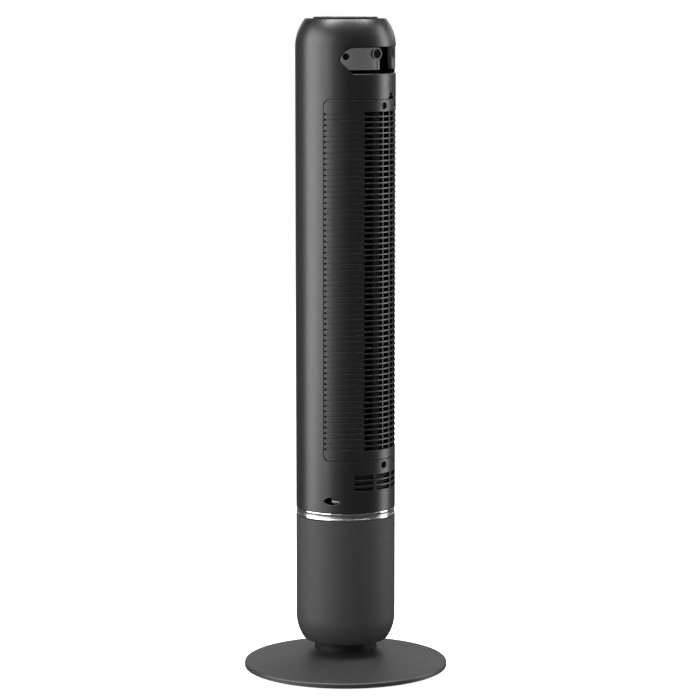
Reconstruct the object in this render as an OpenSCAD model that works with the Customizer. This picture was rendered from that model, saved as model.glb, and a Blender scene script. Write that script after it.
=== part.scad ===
// Tower fan on a round base, in millimetres.
// The origin is on the floor under the middle of the base, +Z is up,
// the air outlet faces -Y and the inlet panel faces +Y.
// Angles called "rear angles" are counted from +Y towards +X.

/* [Base] */
// Diameter of the round base
base_d = 300; // [280:5:320]
// Height of the base's outer rim above the floor
rim_h = 9.6; // [9:0.2:12]
// Height at which the cone of the base meets the neck
cone_top = 30; // [28:0.5:34]
// Wall thickness of the base cover
base_wall = 3; // [2.5:0.5:3.5]
// Diameter of the visible neck
neck_d = 91; // [88:1:94]
// Height of the rubber feet below the cover
foot_h = 2.2; // [1.5:0.1:3]

/* [Column] */
// Outside diameter of the column
body_d = 146; // [144:1:148]
// Wall thickness of the column's shells
wall = 2.8; // [2.4:0.1:3.2]
// Height of the underside of the column
column_z = 44.1; // [44.1:0.1:44.6]
// Radius of the arc that narrows the column towards its foot
foot_arc = 62; // [60:1:64]
// Height of the lower edge of the bright trim ring
ring_z = 230.9; // [225:1:235]
// Height of the trim ring
ring_h = 12; // [10:0.5:14]
// Height of the whole fan
total_h = 960; // [955:1:965]
// Radius of the rounded shoulder at the top
shoulder_r = 64.8; // [60:1:68]

/* [Inlet panel] */
// Height of the panel's lower edge
panel_z0 = 320; // [316:1:324]
// Height of the panel's upper edge
panel_z1 = 842; // [838:1:846]
// Number of ribs across the slot field
rib_n = 61; // [59:1:63]
// Distance from one rib to the next
rib_pitch = 7.95; // [7.8:0.05:8]
// Height of one rib
rib_h = 2.75; // [2.4:0.05:3.2]
// Half the angle of the slot field
slot_half = 41; // [36:1:44]

/* [Handle] */
// Height of the lower edge of the handle opening
handle_z0 = 879.3; // [876:0.5:882]
// Height of the upper edge of the handle opening
handle_z1 = 917; // [914:0.5:918]
// Half the width of the finger hole
finger_half = 19; // [17:1:22]
// Radius of the rolled edge beside the finger hole
roll_r = 30; // [26:1:32]

/* [Impeller] */
// Outside radius of the cross-flow wheel
wheel_r = 45; // [42:1:46]
// Number of blades
blade_n = 30; // [24:2:34]
// Distance of the wheel's axis behind the column's axis
wheel_y = 6; // [4:1:7]

/* [Oscillation drive] */
// Tooth module
gear_m = 1.5; // [1.5:0.1:1.5]
// Teeth on the fixed gear
fixed_n = 54; // [54:2:54]
// Teeth on the motor's pinion
pinion_n = 12; // [12:2:12]

/* [Buttons] */
// Radius of a button cap
button_r = 5.6; // [5:0.1:6]
// Distance of the buttons from the panel's middle
button_ring = 31; // [29:1:33]

/* [Hidden] */
$fn = 96;
base_r = base_d / 2;
neck_r = neck_d / 2;
body_r = body_d / 2;
in_r = body_r - wall;
ring_top = ring_z + ring_h;
house_z = ring_top + 0.5;
rim_z = total_h - 1.5;
shoulder_z = total_h - 42;
foot_arc_z = 81;
fit = 0.06;
spigot_r = 36;
gear_z0 = 52;
gear_z1 = 60;
mesh_y = gear_m * (fixed_n + pinion_n) / 2;
field_z = (panel_z0 + panel_z1) / 2 - 1.4;
wheel_z0 = 338;
wheel_z1 = 822;
motor_z0 = 268;
motor_z1 = 322;
plate_z = 327;
divider_z = 829;
handle_r = body_r - 0.5;
boss_angles = [24.7, 63.5];
boss_z = [907.5, 904];
screw_angle = 14;
cord_y = body_r * cos(80);
cord_z = 260.6;
disc_r = 46.6;
disc_top = total_h - 0.4;
board_z = 943;
button_angles = [-48, -16, 16, 48];

// ---------- helpers ----------

// Points along an arc, ends included
function arc(cx, cy, r, a0, a1, n) = [
    for (i = [0 : n]) let (a = a0 + (a1 - a0) * i / n) [cx + r * cos(a), cy + r * sin(a)]
];

// Wedge from the axis between two rear angles less than 180 degrees apart
module wedge(a0, a1) {
    far = 4 * body_r;
    mid = (a0 + a1) / 2;
    polygon([
        [0, 0],
        [far * sin(a0), far * cos(a0)],
        [far * sin(mid), far * cos(mid)],
        [far * sin(a1), far * cos(a1)]
    ]);
}

// Flat piece of a ring between two rear angles
module ring_piece(r0, r1, a0, a1) {
    intersection() {
        difference() {
            circle(r = r1);
            circle(r = r0);
        }
        wedge(a0, a1);
    }
}

// Upright piece of a tube between two rear angles and two heights
module band(r0, r1, a0, a1, z0, z1) {
    translate([0, 0, z0]) linear_extrude(z1 - z0) ring_piece(r0, r1, a0, a1);
}

// Everything between two rear angles and two heights, from the axis outwards
module slice(a0, a1, z0, z1) {
    translate([0, 0, z0]) linear_extrude(z1 - z0) wedge(a0, a1);
}

// Full tube between two heights
module tube(r0, r1, z0, z1) {
    difference() {
        translate([0, 0, z0]) cylinder(r = r1, h = z1 - z0);
        translate([0, 0, z0 - 1]) cylinder(r = r0, h = z1 - z0 + 2);
    }
}

// Puts its children on a radius at a rear angle, with their +Z pointing outwards
module radial(a, r, z) {
    rotate([0, 0, -a]) translate([0, r, z]) rotate([-90, 0, 0]) children();
}

// Repeats its children round the axis
module around(n, r, start = 0) {
    for (i = [0 : n - 1]) {
        rotate([0, 0, start + i * 360 / n]) translate([r, 0, 0]) children();
    }
}

// Puts its children on the wheel's axis
module on_wheel_axis() {
    translate([0, wheel_y, 0]) children();
}

// Screw with its head's underside at 0 and its shank pointing down
module screw(head_r, head_h, shank_r, length) {
    difference() {
        union() {
            cylinder(r = head_r, h = head_h, $fn = 32);
            translate([0, 0, -length]) cylinder(r = shank_r, h = length + 0.5, $fn = 32);
        }
        for (a = [0, 90]) {
            rotate([0, 0, a]) translate([-head_r * 0.6, -0.4, head_h - 1]) {
                cube([head_r * 1.2, 0.8, 2]);
            }
        }
    }
}

// Involute gear outline with a tooth centred on +X
module gear_outline(m, n, addendum, play) {
    rp = m * n / 2;
    rb = rp * cos(20);
    ra = rp + addendum * m;
    rf = rp - 1.25 * m;
    r0 = max(rb, rf);
    half = 90 / n - play / rp * 90 / PI + (tan(20) * 180 / PI - 20);
    flank = concat([[rf, half]], [
        for (i = [0 : 3]) let (r = r0 + (ra - r0) * i / 3, t = sqrt(max(0, r * r / rb / rb - 1)))
            [r, half - (t * 180 / PI - atan(t))]
    ]);
    last = len(flank) - 1;
    polygon([
        for (k = [0 : n - 1], i = [0 : 2 * last + 1])
            let (p = i <= last ? flank[i] : flank[2 * last + 1 - i])
            let (a = k * 360 / n + (i <= last ? -p[1] : p[1]))
            [p[0] * cos(a), p[0] * sin(a)]
    ]);
}

// ---------- base ----------

// Half section of the base cover, thinned by t all round
module cover_section(t) {
    polygon(concat(
        [[0, foot_h], [base_r - t, foot_h]],
        arc(base_r - 2.6, rim_h - 2.6, 2.6 - min(t, 2.2), 0, 78, 6),
        [[54, cone_top - 2.6 - t], [neck_r + 1, cone_top - t], [0, cone_top - t]]
    ));
}

module base_cover() {
    color("#3a3a3c") difference() {
        union() {
            rotate_extrude($fn = 180) difference() {
                cover_section(0);
                translate([0, -0.01]) cover_section(base_wall);
            }
            tube(spigot_r - 3, spigot_r + 5, 13, cone_top);
            around(6, 134, 30) translate([0, 0, foot_h + 2.1]) cylinder(r = 4, h = 6, $fn = 32);
        }
        translate([0, 0, 10]) cylinder(r = spigot_r - 3, h = 30);
        around(6, 134, 30) translate([0, 0, foot_h]) cylinder(r = 1.3, h = 7.3, $fn = 24);
    }
}

module base_weight() {
    color("#57595c") rotate_extrude($fn = 120) {
        polygon([[60, foot_h + 2.4], [118, foot_h + 2.4], [118, 10.6], [60, 20.5]]);
    }
}

module base_plate() {
    color("#242426") difference() {
        tube(48, base_r - base_wall - 0.4, foot_h, foot_h + 2);
        around(6, 134, 30) cylinder(r = 1.9, h = 9, $fn = 24);
        around(6, 128, 0) cylinder(r = 3, h = 9, $fn = 32);
    }
}

module rubber_feet() {
    color("#1b1b1c") around(6, 128, 0) {
        cylinder(r = 9, h = foot_h, $fn = 48);
        translate([0, 0, foot_h - 0.2]) cylinder(r = 2.95, h = 2.6, $fn = 32);
    }
}

module base_screws() {
    color("#8d9094") around(6, 134, 30) translate([0, 0, foot_h]) mirror([0, 0, 1]) {
        screw(3, 1.6, 1.25, 7);
    }
}

module neck() {
    color("#2c2c2e") difference() {
        union() {
            translate([0, 0, cone_top]) cylinder(r = neck_r, h = 43 - cone_top);
            translate([0, 0, 7]) cylinder(r = spigot_r - 3 - fit, h = 24);
            translate([0, 0, 42]) cylinder(r = spigot_r, h = gear_z0 - 42);
        }
        translate([0, 0, 6]) cylinder(r = 27, h = 50);
        around(3, 31.5, 30) translate([0, 0, gear_z0 - 7]) cylinder(r = 1.2, h = 9, $fn = 24);
    }
}

module neck_nut() {
    color("#2c2c2e") difference() {
        union() {
            translate([0, 0, 7.5]) cylinder(r = 42, h = 5.3);
            around(8, 42, 0) translate([0, 0, 7.5]) cylinder(r = 3.5, h = 5.3, $fn = 32);
        }
        translate([0, 0, 6]) cylinder(r = spigot_r - 3, h = 9);
    }
}

module thrust_washer() {
    color("#e6e4dc") tube(spigot_r + 0.3, neck_r - 1, 43, 44);
}

module fixed_gear() {
    color("#e6e4dc") difference() {
        translate([0, 0, gear_z0]) linear_extrude(gear_z1 - gear_z0) difference() {
            rotate(90) gear_outline(gear_m, fixed_n, 0.85, 0.15);
            circle(r = 27);
        }
        around(3, 31.5, 30) {
            translate([0, 0, gear_z0 - 1]) cylinder(r = 1.8, h = 12, $fn = 24);
            translate([0, 0, gear_z1 - 2.1]) cylinder(r = 3.4, h = 4, $fn = 40);
        }
    }
}

module gear_screws() {
    color("#8d9094") around(3, 31.5, 30) translate([0, 0, gear_z1 - 2.1]) screw(3.2, 2, 1.15, 12);
}

// ---------- pedestal ----------

// Half section of the pedestal's outside, thinned by t
module pedestal_section(t) {
    intersection() {
        translate([body_r - foot_arc, foot_arc_z]) circle(r = foot_arc - t, $fn = 240);
        translate([0, column_z + t]) square([body_r, foot_arc_z - column_z - t + 0.01]);
    }
    translate([0, foot_arc_z]) square([body_r - t, ring_z - 0.4 - foot_arc_z]);
}

module pedestal_shell() {
    color("#343436") difference() {
        rotate_extrude($fn = 180) difference() {
            pedestal_section(0);
            pedestal_section(wall);
            translate([0, ring_z - 5]) square([in_r, 10]);
        }
        translate([0, 0, column_z - 1]) cylinder(r = 50, h = 5);
        around(4, 53, 45) translate([0, 0, column_z - 1]) cylinder(r = 1.7, h = 6, $fn = 24);
    }
}

module pedestal_floor() {
    floor_z = column_z + wall;
    color("#2c2c2e") difference() {
        union() {
            tube(spigot_r + fit, 57, floor_z + 0.05, floor_z + 3.2);
            tube(spigot_r + fit, 48, column_z, floor_z + 3.2);
            for (x = [-24, 24]) {
                translate([x, 50, floor_z + 3]) cylinder(r = 3.5, h = 61.4 - floor_z - 3, $fn = 32);
            }
        }
        around(4, 53, 45) translate([0, 0, column_z]) cylinder(r = 1.2, h = 9, $fn = 24);
        for (x = [-24, 24]) {
            translate([x, 50, floor_z + 4]) cylinder(r = 1.1, h = 20, $fn = 24);
        }
    }
}

module floor_screws() {
    color("#8d9094") around(4, 53, 45) translate([0, 0, column_z + 1]) mirror([0, 0, 1]) {
        screw(1.6, 0.9, 1.1, 8);
    }
}

module swing_bracket() {
    color("#9a9da1") difference() {
        union() {
            translate([-28, 45, 61.4]) cube([56, 10, 1.6]);
            translate([0, mesh_y - 8, 61.4]) cylinder(r = 17, h = 1.6);
        }
        translate([0, mesh_y, 60]) cylinder(r = 5, h = 5);
        for (x = [-24, 24]) translate([x, 50, 60]) cylinder(r = 1.7, h = 5, $fn = 24);
        for (x = [-14.5, 14.5]) {
            translate([x, mesh_y - 8, 60]) cylinder(r = 1.3, h = 5, $fn = 24);
        }
    }
}

module bracket_screws() {
    color("#8d9094") {
        for (x = [-24, 24]) translate([x, 50, 63]) screw(2.8, 1.8, 1.05, 7);
    }
}

module swing_motor() {
    color("#b9bcc0") union() {
        translate([0, mesh_y - 8, 63]) cylinder(r = 14, h = 19);
        translate([0, mesh_y, 53.5]) cylinder(r = 2.4, h = 10, $fn = 48);
        translate([-8.5, mesh_y - 25.5, 64]) cube([17, 6, 16]);
    }
}

module swing_pinion() {
    color("#f0eee6") translate([0, mesh_y, 0]) difference() {
        translate([0, 0, 52.6]) linear_extrude(7.8) {
            rotate(-90 + 180 / pinion_n) gear_outline(gear_m, pinion_n, 0.95, 0.15);
        }
        translate([0, 0, 50]) cylinder(r = 2.45, h = 12, $fn = 48);
    }
}

module coupling_plate() {
    color("#2c2c2e") difference() {
        union() {
            tube(24, in_r - 3.2, ring_top - 2, ring_top + 2);
            tube(in_r - 6.2, in_r - 3.2, ring_z - 14, ring_top);
            around(4, 58, 45) translate([0, 0, ring_z - 14]) cylinder(r = 5, h = 24, $fn = 40);
        }
        around(4, 58, 45) translate([0, 0, ring_z - 15]) cylinder(r = 1.4, h = 30, $fn = 24);
    }
}

module coupling_screws() {
    color("#8d9094") around(4, 58, 45) translate([0, 0, ring_top + 2]) screw(3.4, 2, 1.35, 16);
}

module trim_ring() {
    color("#d8dadd") rotate_extrude($fn = 180) {
        polygon([
            [in_r - 2.9, ring_z], [body_r - 0.2, ring_z], [body_r + 0.1, ring_z + 0.6],
            [body_r + 0.1, ring_z + 3.6], [body_r - 0.7, ring_z + 4.2],
            [body_r - 0.7, ring_top - 4.2], [body_r + 0.1, ring_top - 3.6],
            [body_r + 0.1, ring_top - 0.6], [body_r - 0.2, ring_top], [in_r - 2.9, ring_top]
        ]);
    }
}

module board_carrier() {
    color("#2c2c2e") difference() {
        union() {
            translate([-44, -30.2, 112]) cube([88, 2.2, ring_top - 114.1]);
            for (x = [-44, 41.8]) translate([x, -30.2, 112]) cube([2.2, 14, ring_top - 114.1]);
            translate([-44, -30.2, ring_top - 4.3]) cube([88, 22, 2.2]);
            for (x = [-36, 36], z = [122, 218]) {
                translate([x, -29, z]) rotate([-90, 0, 0]) cylinder(r = 3, h = 4.9, $fn = 32);
            }
        }
        translate([-20, -32, 150]) cube([40, 6, 40]);
    }
}

module power_board() {
    color("#2e6b3f") difference() {
        translate([-40, -24, 118]) cube([80, 1.6, 104]);
        for (x = [-36, 36], z = [122, 218]) {
            translate([x, -25, z]) rotate([-90, 0, 0]) cylinder(r = 1.6, h = 4, $fn = 24);
        }
    }
}

module power_parts() {
    color("#303236") {
        translate([-34, -22.3, 176]) cube([26, 20, 30]);
        translate([-2, -22.3, 184]) cube([16, 15, 19]);
        translate([20, -22.3, 184]) cube([14, 12, 24]);
        translate([-34, -22.3, 126]) cube([44, 10, 9]);
        for (x = [-22, -8, 6]) {
            translate([x, -22.3, 156]) rotate([-90, 0, 0]) cylinder(r = 5, h = 14, $fn = 40);
        }
    }
}

module run_capacitor() {
    color("#e2ded2") translate([20, -22.3, 126]) cube([17, 26, 44]);
}

// ---------- housing ----------

// Half section of the housing's outside, thinned by t
module housing_section(t) {
    translate([0, house_z - t]) square([body_r - t, shoulder_z - house_z + t]);
    intersection() {
        translate([body_r - shoulder_r, shoulder_z]) circle(r = shoulder_r - t, $fn = 240);
        translate([0, shoulder_z - 0.01]) square([body_r, rim_z - shoulder_z - t]);
    }
}

// Outline of one end of the handle opening, seen along its own radius,
// with x towards the middle of the opening; inset by t. It is a hair lower than the
// opening's middle part, so that no two faces of the cut coincide.
module handle_end(t) {
    hair = 0.04;
    polygon(concat(
        arc(12, handle_z1 - 24 - hair, 24 - t, 164, 90, 8),
        [[20, handle_z1 - t - 6], [20, handle_z0 + t + 6], [12, handle_z0 + t + hair],
         [8.2, handle_z0 + t + hair], [-10.6 + t, handle_z0 + 17.4]]
    ));
}

// Everything inside the outline of the handle opening, on the rear half
module handle_opening(t) {
    slice(-53, 53, handle_z0 + t, handle_z1 - t);
    for (s = [-1, 1]) {
        rotate([0, 0, -s * 62]) translate([0, 100, 0]) rotate([90, 0, 0]) linear_extrude(60) {
            scale([-s, 1]) handle_end(t);
        }
    }
}

// Three rows of cooling slots in four columns, low on the rear of the housing
module cooling_slots() {
    rows = [[275.3, 280.8], [283.4, 289.4], [291.7, 298.5]];
    for (row = rows, a = [[-54, -30], [-26, -2], [2, 26], [30, 54]]) {
        slice(a[0], a[1], row[0], row[1]);
    }
}

// Ledge inside the housing that the inlet panel rests on
module panel_ledge() {
    r0 = in_r - 2.6;
    r1 = in_r + 0.1;
    for (s = [-1, 1]) band(r0, r1, s > 0 ? 84 : -93, s > 0 ? 93 : -84, panel_z0 - 6, panel_z1 + 6);
    band(r0, r1, -85, 85, panel_z0 - 6, panel_z0 + 5);
    for (s = [-1, 1]) band(r0, r1, s > 0 ? 4 : -85, s > 0 ? 85 : -4, panel_z1 - 5, panel_z1 + 6);
}

module housing() {
    gap = 0.45;
    color("#3a3a3c") difference() {
        union() {
            difference() {
                rotate_extrude($fn = 180) difference() {
                    housing_section(0);
                    translate([0, -0.01]) housing_section(wall);
                    translate([0, rim_z - 8]) square([disc_r + 0.5, 12]);
                }
                translate([-90, -gap, panel_z0 - gap]) {
                    cube([180, 90, panel_z1 - panel_z0 + 2 * gap]);
                }
                slice(154.6, 205.4, 334.6, 825.4);
                slice(-2.9, 2.9, panel_z1, panel_z1 + 6);
                slice(-1.2, 1.2, panel_z1 + 5, panel_z1 + 8);
                handle_opening(0);
                cooling_slots();
            }
            panel_ledge();
            for (s = [-1, 1]) {
                radial(s * screw_angle, in_r - 9, 311) cylinder(r = 6.2, h = 10);
            }
        }
        for (s = [-1, 1]) {
            radial(s * screw_angle, in_r - 5, 311) cylinder(r = 4.25, h = 20);
            radial(s * screw_angle, in_r - 12, 311) cylinder(r = 1.7, h = 20);
            radial(s * screw_angle, in_r - 5, 833) cylinder(r = 6.6, h = 5.6);
        }
        translate([55, cord_y, cord_z]) rotate([0, 90, 0]) linear_extrude(30) {
            intersection() {
                translate([-11.5, 0]) circle(r = 17);
                translate([11.5, 0]) circle(r = 17);
            }
        }
    }
}

module rear_panel() {
    half = rib_pitch * rib_n / 2 + rib_h / 2;
    slot_h = rib_pitch - rib_h;
    color("#37373a") difference() {
        union() {
            band(in_r + 0.1, body_r, -90, 0.2, panel_z0, panel_z1);
            band(in_r + 0.1, body_r, 0, 90, panel_z0, panel_z1);
            for (a = [-screw_angle, screw_angle]) {
                band(in_r - 2.5, in_r + 1, a - 0.7, a + 0.7, field_z - half, field_z + half);
            }
            band(in_r - 2.5, in_r + 1, -1.8, 1.8, field_z - half, field_z + half);
            band(in_r + 0.1, body_r - 0.6, -2.2, 2.2, panel_z1 - 1, panel_z1 + 5);
            for (s = [-1, 1]) {
                radial(s * screw_angle, in_r - 2.9, 833) cylinder(r = 6.2, h = 4.9);
            }
        }
        for (i = [0 : rib_n]) {
            z = field_z + (i - rib_n / 2) * rib_pitch;
            band(in_r - 0.3, body_r + 1, -slot_half, slot_half, z - slot_h / 2, z + slot_h / 2);
        }
        for (s = [-1, 1]) {
            radial(s * screw_angle, in_r - 2, 833) cylinder(r = 4.25, h = 20);
            radial(s * screw_angle, in_r - 12, 833) cylinder(r = 1.7, h = 20);
        }
    }
}

module rear_screws() {
    color("#26272a") for (s = [-1, 1]) {
        radial(s * screw_angle, in_r - 5, 311) screw(3.4, 2, 1.6, 9);
        radial(s * screw_angle, in_r - 2, 833) screw(3.4, 2, 1.25, 9);
    }
}

module front_grille() {
    rows = 61;
    pitch = 7.75;
    bar = 2.2;
    color("#2b2b2d") difference() {
        union() {
            band(in_r, body_r, 155, 205, 335, 825);
            for (a = [171, 189]) band(in_r - 2, in_r + 0.5, a - 0.6, a + 0.6, 335, 825);
        }
        for (i = [0 : rows]) {
            z = field_z + (i - rows / 2) * pitch;
            band(in_r - 0.3, body_r + 1, 156, 204, z - (pitch - bar) / 2, z + (pitch - bar) / 2);
        }
    }
}

module outlet_vanes() {
    color("#1f1f21") union() {
        for (x = [-20, -10, 0, 10, 20]) {
            translate([x - 0.8, -64, 338]) cube([1.6, 12, 484]);
        }
        for (z = [338, 499, 660, 819]) translate([-30.4, -60, z]) cube([60.8, 3, 3]);
    }
}

// ---------- air path ----------

// Centre line of the scroll: a spiral round the wheel and a straight run out
function scroll_line(dr) = concat(
    [for (a = [150 : 6 : 240]) let (r = 50.5 + dr + (a - 150) * 0.14)
        [r * cos(a), wheel_y + r * sin(a)]],
    [[-30.5 - dr, -61.5]]
);

module air_guide() {
    back = scroll_line(2);
    color("#2b2b2d") translate([0, 0, 331.2]) linear_extrude(497.4) {
        polygon(concat(scroll_line(0), [for (i = [len(back) - 1 : -1 : 0]) back[i]]));
    }
}

module air_tongue() {
    color("#2b2b2d") translate([0, 0, 331.2]) linear_extrude(497.4) {
        polygon(concat(
            arc(44, -24, 3, 120, 200, 6),
            [[30.5, -61.5], [32.5, -61.5], [47, -32], [58, -32], [58, -30], [46.5, -25]]
        ));
    }
}

// Round partition across the housing, with a notch for the wires
module partition(z, h) {
    difference() {
        translate([0, 0, z]) cylinder(r = in_r - 3, h = h);
        translate([-63, 10, z - 1]) cylinder(r = 5, h = h + 2, $fn = 40);
        translate([-74, 5, z - 1]) cube([11, 10, h + 2]);
    }
}

module motor_plate() {
    color("#2c2c2e") difference() {
        union() {
            partition(plate_z, 4);
            for (s = [-1, 1]) {
                radial(s * screw_angle, in_r - 17, 311) cylinder(r = 4, h = 7.9);
                translate([s * 13.1 - 3, 50, 309]) cube([6, 4, 20]);
            }
        }
        on_wheel_axis() translate([0, 0, plate_z - 1]) cylinder(r = 15, h = 7);
        on_wheel_axis() around(4, 31, 45) translate([0, 0, plate_z - 1]) {
            cylinder(r = 5.1, h = 7, $fn = 40);
        }
        for (s = [-1, 1]) radial(s * screw_angle, in_r - 18, 311) cylinder(r = 1.65, h = 10);
    }
}

module motor_grommets() {
    color("#1b1b1c") on_wheel_axis() around(4, 31, 45) difference() {
        union() {
            translate([0, 0, plate_z - 0.1]) cylinder(r = 5, h = 4.2, $fn = 40);
            translate([0, 0, plate_z - 3]) cylinder(r = 6.6, h = 2.9, $fn = 40);
            translate([0, 0, plate_z + 4.1]) cylinder(r = 6.6, h = 1.6, $fn = 40);
        }
        translate([0, 0, plate_z - 5]) cylinder(r = 1.9, h = 15, $fn = 32);
    }
}

module motor_screws() {
    color("#8d9094") on_wheel_axis() around(4, 31, 45) translate([0, 0, plate_z + 5.8]) {
        screw(3.6, 1.8, 1.8, 13);
    }
}

module motor_case() {
    color("#a3a6aa") on_wheel_axis() difference() {
        union() {
            translate([0, 0, motor_z0 + 8]) cylinder(r = 39, h = motor_z1 - motor_z0 - 8);
            translate([0, 0, motor_z1 - 1]) cylinder(r = 12, h = 4);
        }
        translate([0, 0, motor_z0]) cylinder(r = 36.5, h = motor_z1 - motor_z0 - 3);
        translate([0, 0, motor_z1 - 5]) cylinder(r = 4.05, h = 12, $fn = 48);
        around(4, 31, 45) translate([0, 0, motor_z1 - 6]) cylinder(r = 1.9, h = 9, $fn = 24);
    }
}

module motor_cover() {
    color("#a3a6aa") on_wheel_axis() difference() {
        union() {
            translate([0, 0, motor_z0]) cylinder(r = 39, h = 7.9);
            translate([0, 0, motor_z0 - 4]) cylinder(r = 11, h = 5);
        }
        translate([0, 0, motor_z0 + 3]) cylinder(r = 36.5, h = 8);
        translate([0, 0, motor_z0 - 2]) cylinder(r = 4.05, h = 12, $fn = 48);
        around(8, 27, 0) translate([0, 0, motor_z0 - 2]) cylinder(r = 4, h = 9, $fn = 32);
    }
}

module stator_core() {
    color("#6b6e72") on_wheel_axis() difference() {
        translate([0, 0, 284]) cylinder(r = 36.4, h = 22);
        translate([0, 0, 283]) cylinder(r = 18.4, h = 24);
        around(12, 25, 0) translate([0, 0, 283]) cylinder(r = 3.6, h = 24, $fn = 32);
    }
}

module stator_windings() {
    color("#b5652b") on_wheel_axis() {
        tube(20.5, 31, 306.1, 313);
        tube(20.5, 31, 277, 283.9);
        around(12, 25, 0) translate([0, 0, 283.5]) cylinder(r = 3.3, h = 23, $fn = 32);
    }
}

module rotor_core() {
    color("#7d8084") on_wheel_axis() difference() {
        union() {
            translate([0, 0, 284]) cylinder(r = 18, h = 22);
            tube(12, 17, 280.5, 309.5);
        }
        translate([0, 0, 275]) cylinder(r = 4, h = 40, $fn = 48);
    }
}

module motor_shaft() {
    color("#c3c6ca") on_wheel_axis() translate([0, 0, motor_z0]) {
        cylinder(r = 4, h = 350 - motor_z0, $fn = 48);
    }
}

module impeller_hub() {
    color("#8d8f93") on_wheel_axis() difference() {
        union() {
            translate([0, 0, wheel_z0 - 2]) cylinder(r = 9, h = 16);
            translate([0, 0, wheel_z0 + 2.4]) cylinder(r = 13, h = 3);
        }
        translate([0, 0, wheel_z0 - 3]) cylinder(r = 4, h = 30, $fn = 48);
    }
}

// Cross-section of one forward-curved blade, with its outer edge near the wheel's rim
module blade_outline() {
    cx = wheel_r - 6.6;
    polygon(concat(arc(cx, 6.4, 9.2, 218, 308, 5), arc(cx, 6.4, 8, 308, 218, 5)));
}

module impeller() {
    decks = 5;
    step = (wheel_z1 - wheel_z0 - 2.4) / (decks - 1);
    color("#2a2b2e") on_wheel_axis() difference() {
        union() {
            for (i = [0 : blade_n - 1]) {
                rotate([0, 0, i * 360 / blade_n]) translate([0, 0, wheel_z0 + 0.5]) {
                    linear_extrude(wheel_z1 - wheel_z0 - 1) blade_outline();
                }
            }
            for (k = [0 : decks - 1]) {
                inner = (k == 0 || k == decks - 1) ? 5 : wheel_r - 14;
                tube(inner, wheel_r, wheel_z0 + k * step, wheel_z0 + k * step + 2.4);
            }
        }
        translate([0, 0, wheel_z0 - 1]) cylinder(r = 9.05, h = 5);
    }
}

module top_pin() {
    color("#c3c6ca") on_wheel_axis() union() {
        translate([0, 0, wheel_z1 - 6]) cylinder(r = 4.9, h = 9, $fn = 48);
        translate([0, 0, wheel_z1 + 2]) cylinder(r = 3, h = 15, $fn = 48);
    }
}

module top_divider() {
    color("#2c2c2e") difference() {
        union() {
            partition(divider_z, 3);
            for (s = [-1, 1]) radial(s * screw_angle, in_r - 12, 833) cylinder(r = 4, h = 8.9);
            on_wheel_axis() translate([0, 0, divider_z]) cylinder(r = 15, h = 9);
        }
        on_wheel_axis() translate([0, 0, divider_z - 1]) cylinder(r = 11.2, h = 12);
        for (s = [-1, 1]) radial(s * screw_angle, in_r - 13, 833) cylinder(r = 1.3, h = 12);
    }
}

module bearing_holder() {
    color("#1b1b1c") on_wheel_axis() difference() {
        translate([0, 0, divider_z]) cylinder(r = 11.1, h = 9);
        translate([0, 0, divider_z - 1]) cylinder(r = 6.1, h = 12);
    }
}

module top_bush() {
    color("#b08d57") on_wheel_axis() difference() {
        translate([0, 0, divider_z + 0.2]) cylinder(r = 6, h = 8.6);
        translate([0, 0, divider_z - 1]) cylinder(r = 3 + fit, h = 12, $fn = 48);
    }
}

// ---------- handle ----------

// Plan of the handle insert's outside: round, with rolled edges at the finger hole
module handle_plan(r, roll) {
    k = body_r - roll_r;
    for (s = [-1, 1]) {
        intersection() {
            circle(r = r);
            wedge(s > 0 ? 34 : -80, s > 0 ? 80 : -34);
        }
        translate([s * k * sin(34), k * cos(34)]) circle(r = roll);
    }
}

module handle_plate() {
    color("#5e5f62") difference() {
        union() {
            intersection() {
                translate([0, 0, handle_z0 + 5.6]) linear_extrude(40) difference() {
                    handle_plan(handle_r, roll_r - 0.55);
                    handle_plan(handle_r - 2.4, roll_r - 2.95);
                    translate([-finger_half, 0]) square([2 * finger_half, 90]);
                    translate([-90, -90]) square([180, 100]);
                }
                handle_opening(0.45);
            }
            band(61, 67.2, -20.5, 20.5, handle_z0 + 5.6, handle_z0 + 7.9);
            for (s = [-1, 1], i = [0, 1]) {
                radial(s * boss_angles[i], handle_r - 9, boss_z[i]) {
                    cylinder(r = i == 0 ? 8.2 : 7.4, h = i == 0 ? 8.6 : 6.2);
                }
            }
        }
        for (s = [-1, 1], i = [0, 1]) {
            radial(s * boss_angles[i], handle_r - 7, boss_z[i]) cylinder(r = 6.1, h = 20);
            radial(s * boss_angles[i], handle_r - 15, boss_z[i]) cylinder(r = 1.8, h = 20);
        }
        translate([-finger_half + 1, 0, handle_z0 + 8]) cube([2 * finger_half - 2, 90, 50]);
    }
}

module handle_screws() {
    color("#8d9094") for (s = [-1, 1], i = [0, 1]) {
        radial(s * boss_angles[i], handle_r - 7, boss_z[i]) screw(4, 2.4, 1.7, 9);
    }
}

module handle_pocket() {
    half = finger_half + 5;
    seat = handle_r - 9.2;
    color("#161617") difference() {
        union() {
            translate([-half - 2.2, 34, handle_z0 - 2]) {
                cube([2 * half + 4.4, 28, handle_z1 - handle_z0 + 4]);
            }
            for (s = [-1, 1]) band(seat - 2.4, seat, s > 0 ? 20 : -71, s > 0 ? 71 : -20, 897, 911);
        }
        translate([-half, 36.2, handle_z0]) cube([2 * half, 50, handle_z1 - handle_z0]);
        for (s = [-1, 1], i = [0, 1]) {
            radial(s * boss_angles[i], seat + 0.1, boss_z[i]) cylinder(r = 9, h = 30);
            radial(s * boss_angles[i], seat - 10, boss_z[i]) cylinder(r = 1.75, h = 20);
        }
    }
}

// ---------- controls ----------

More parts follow.
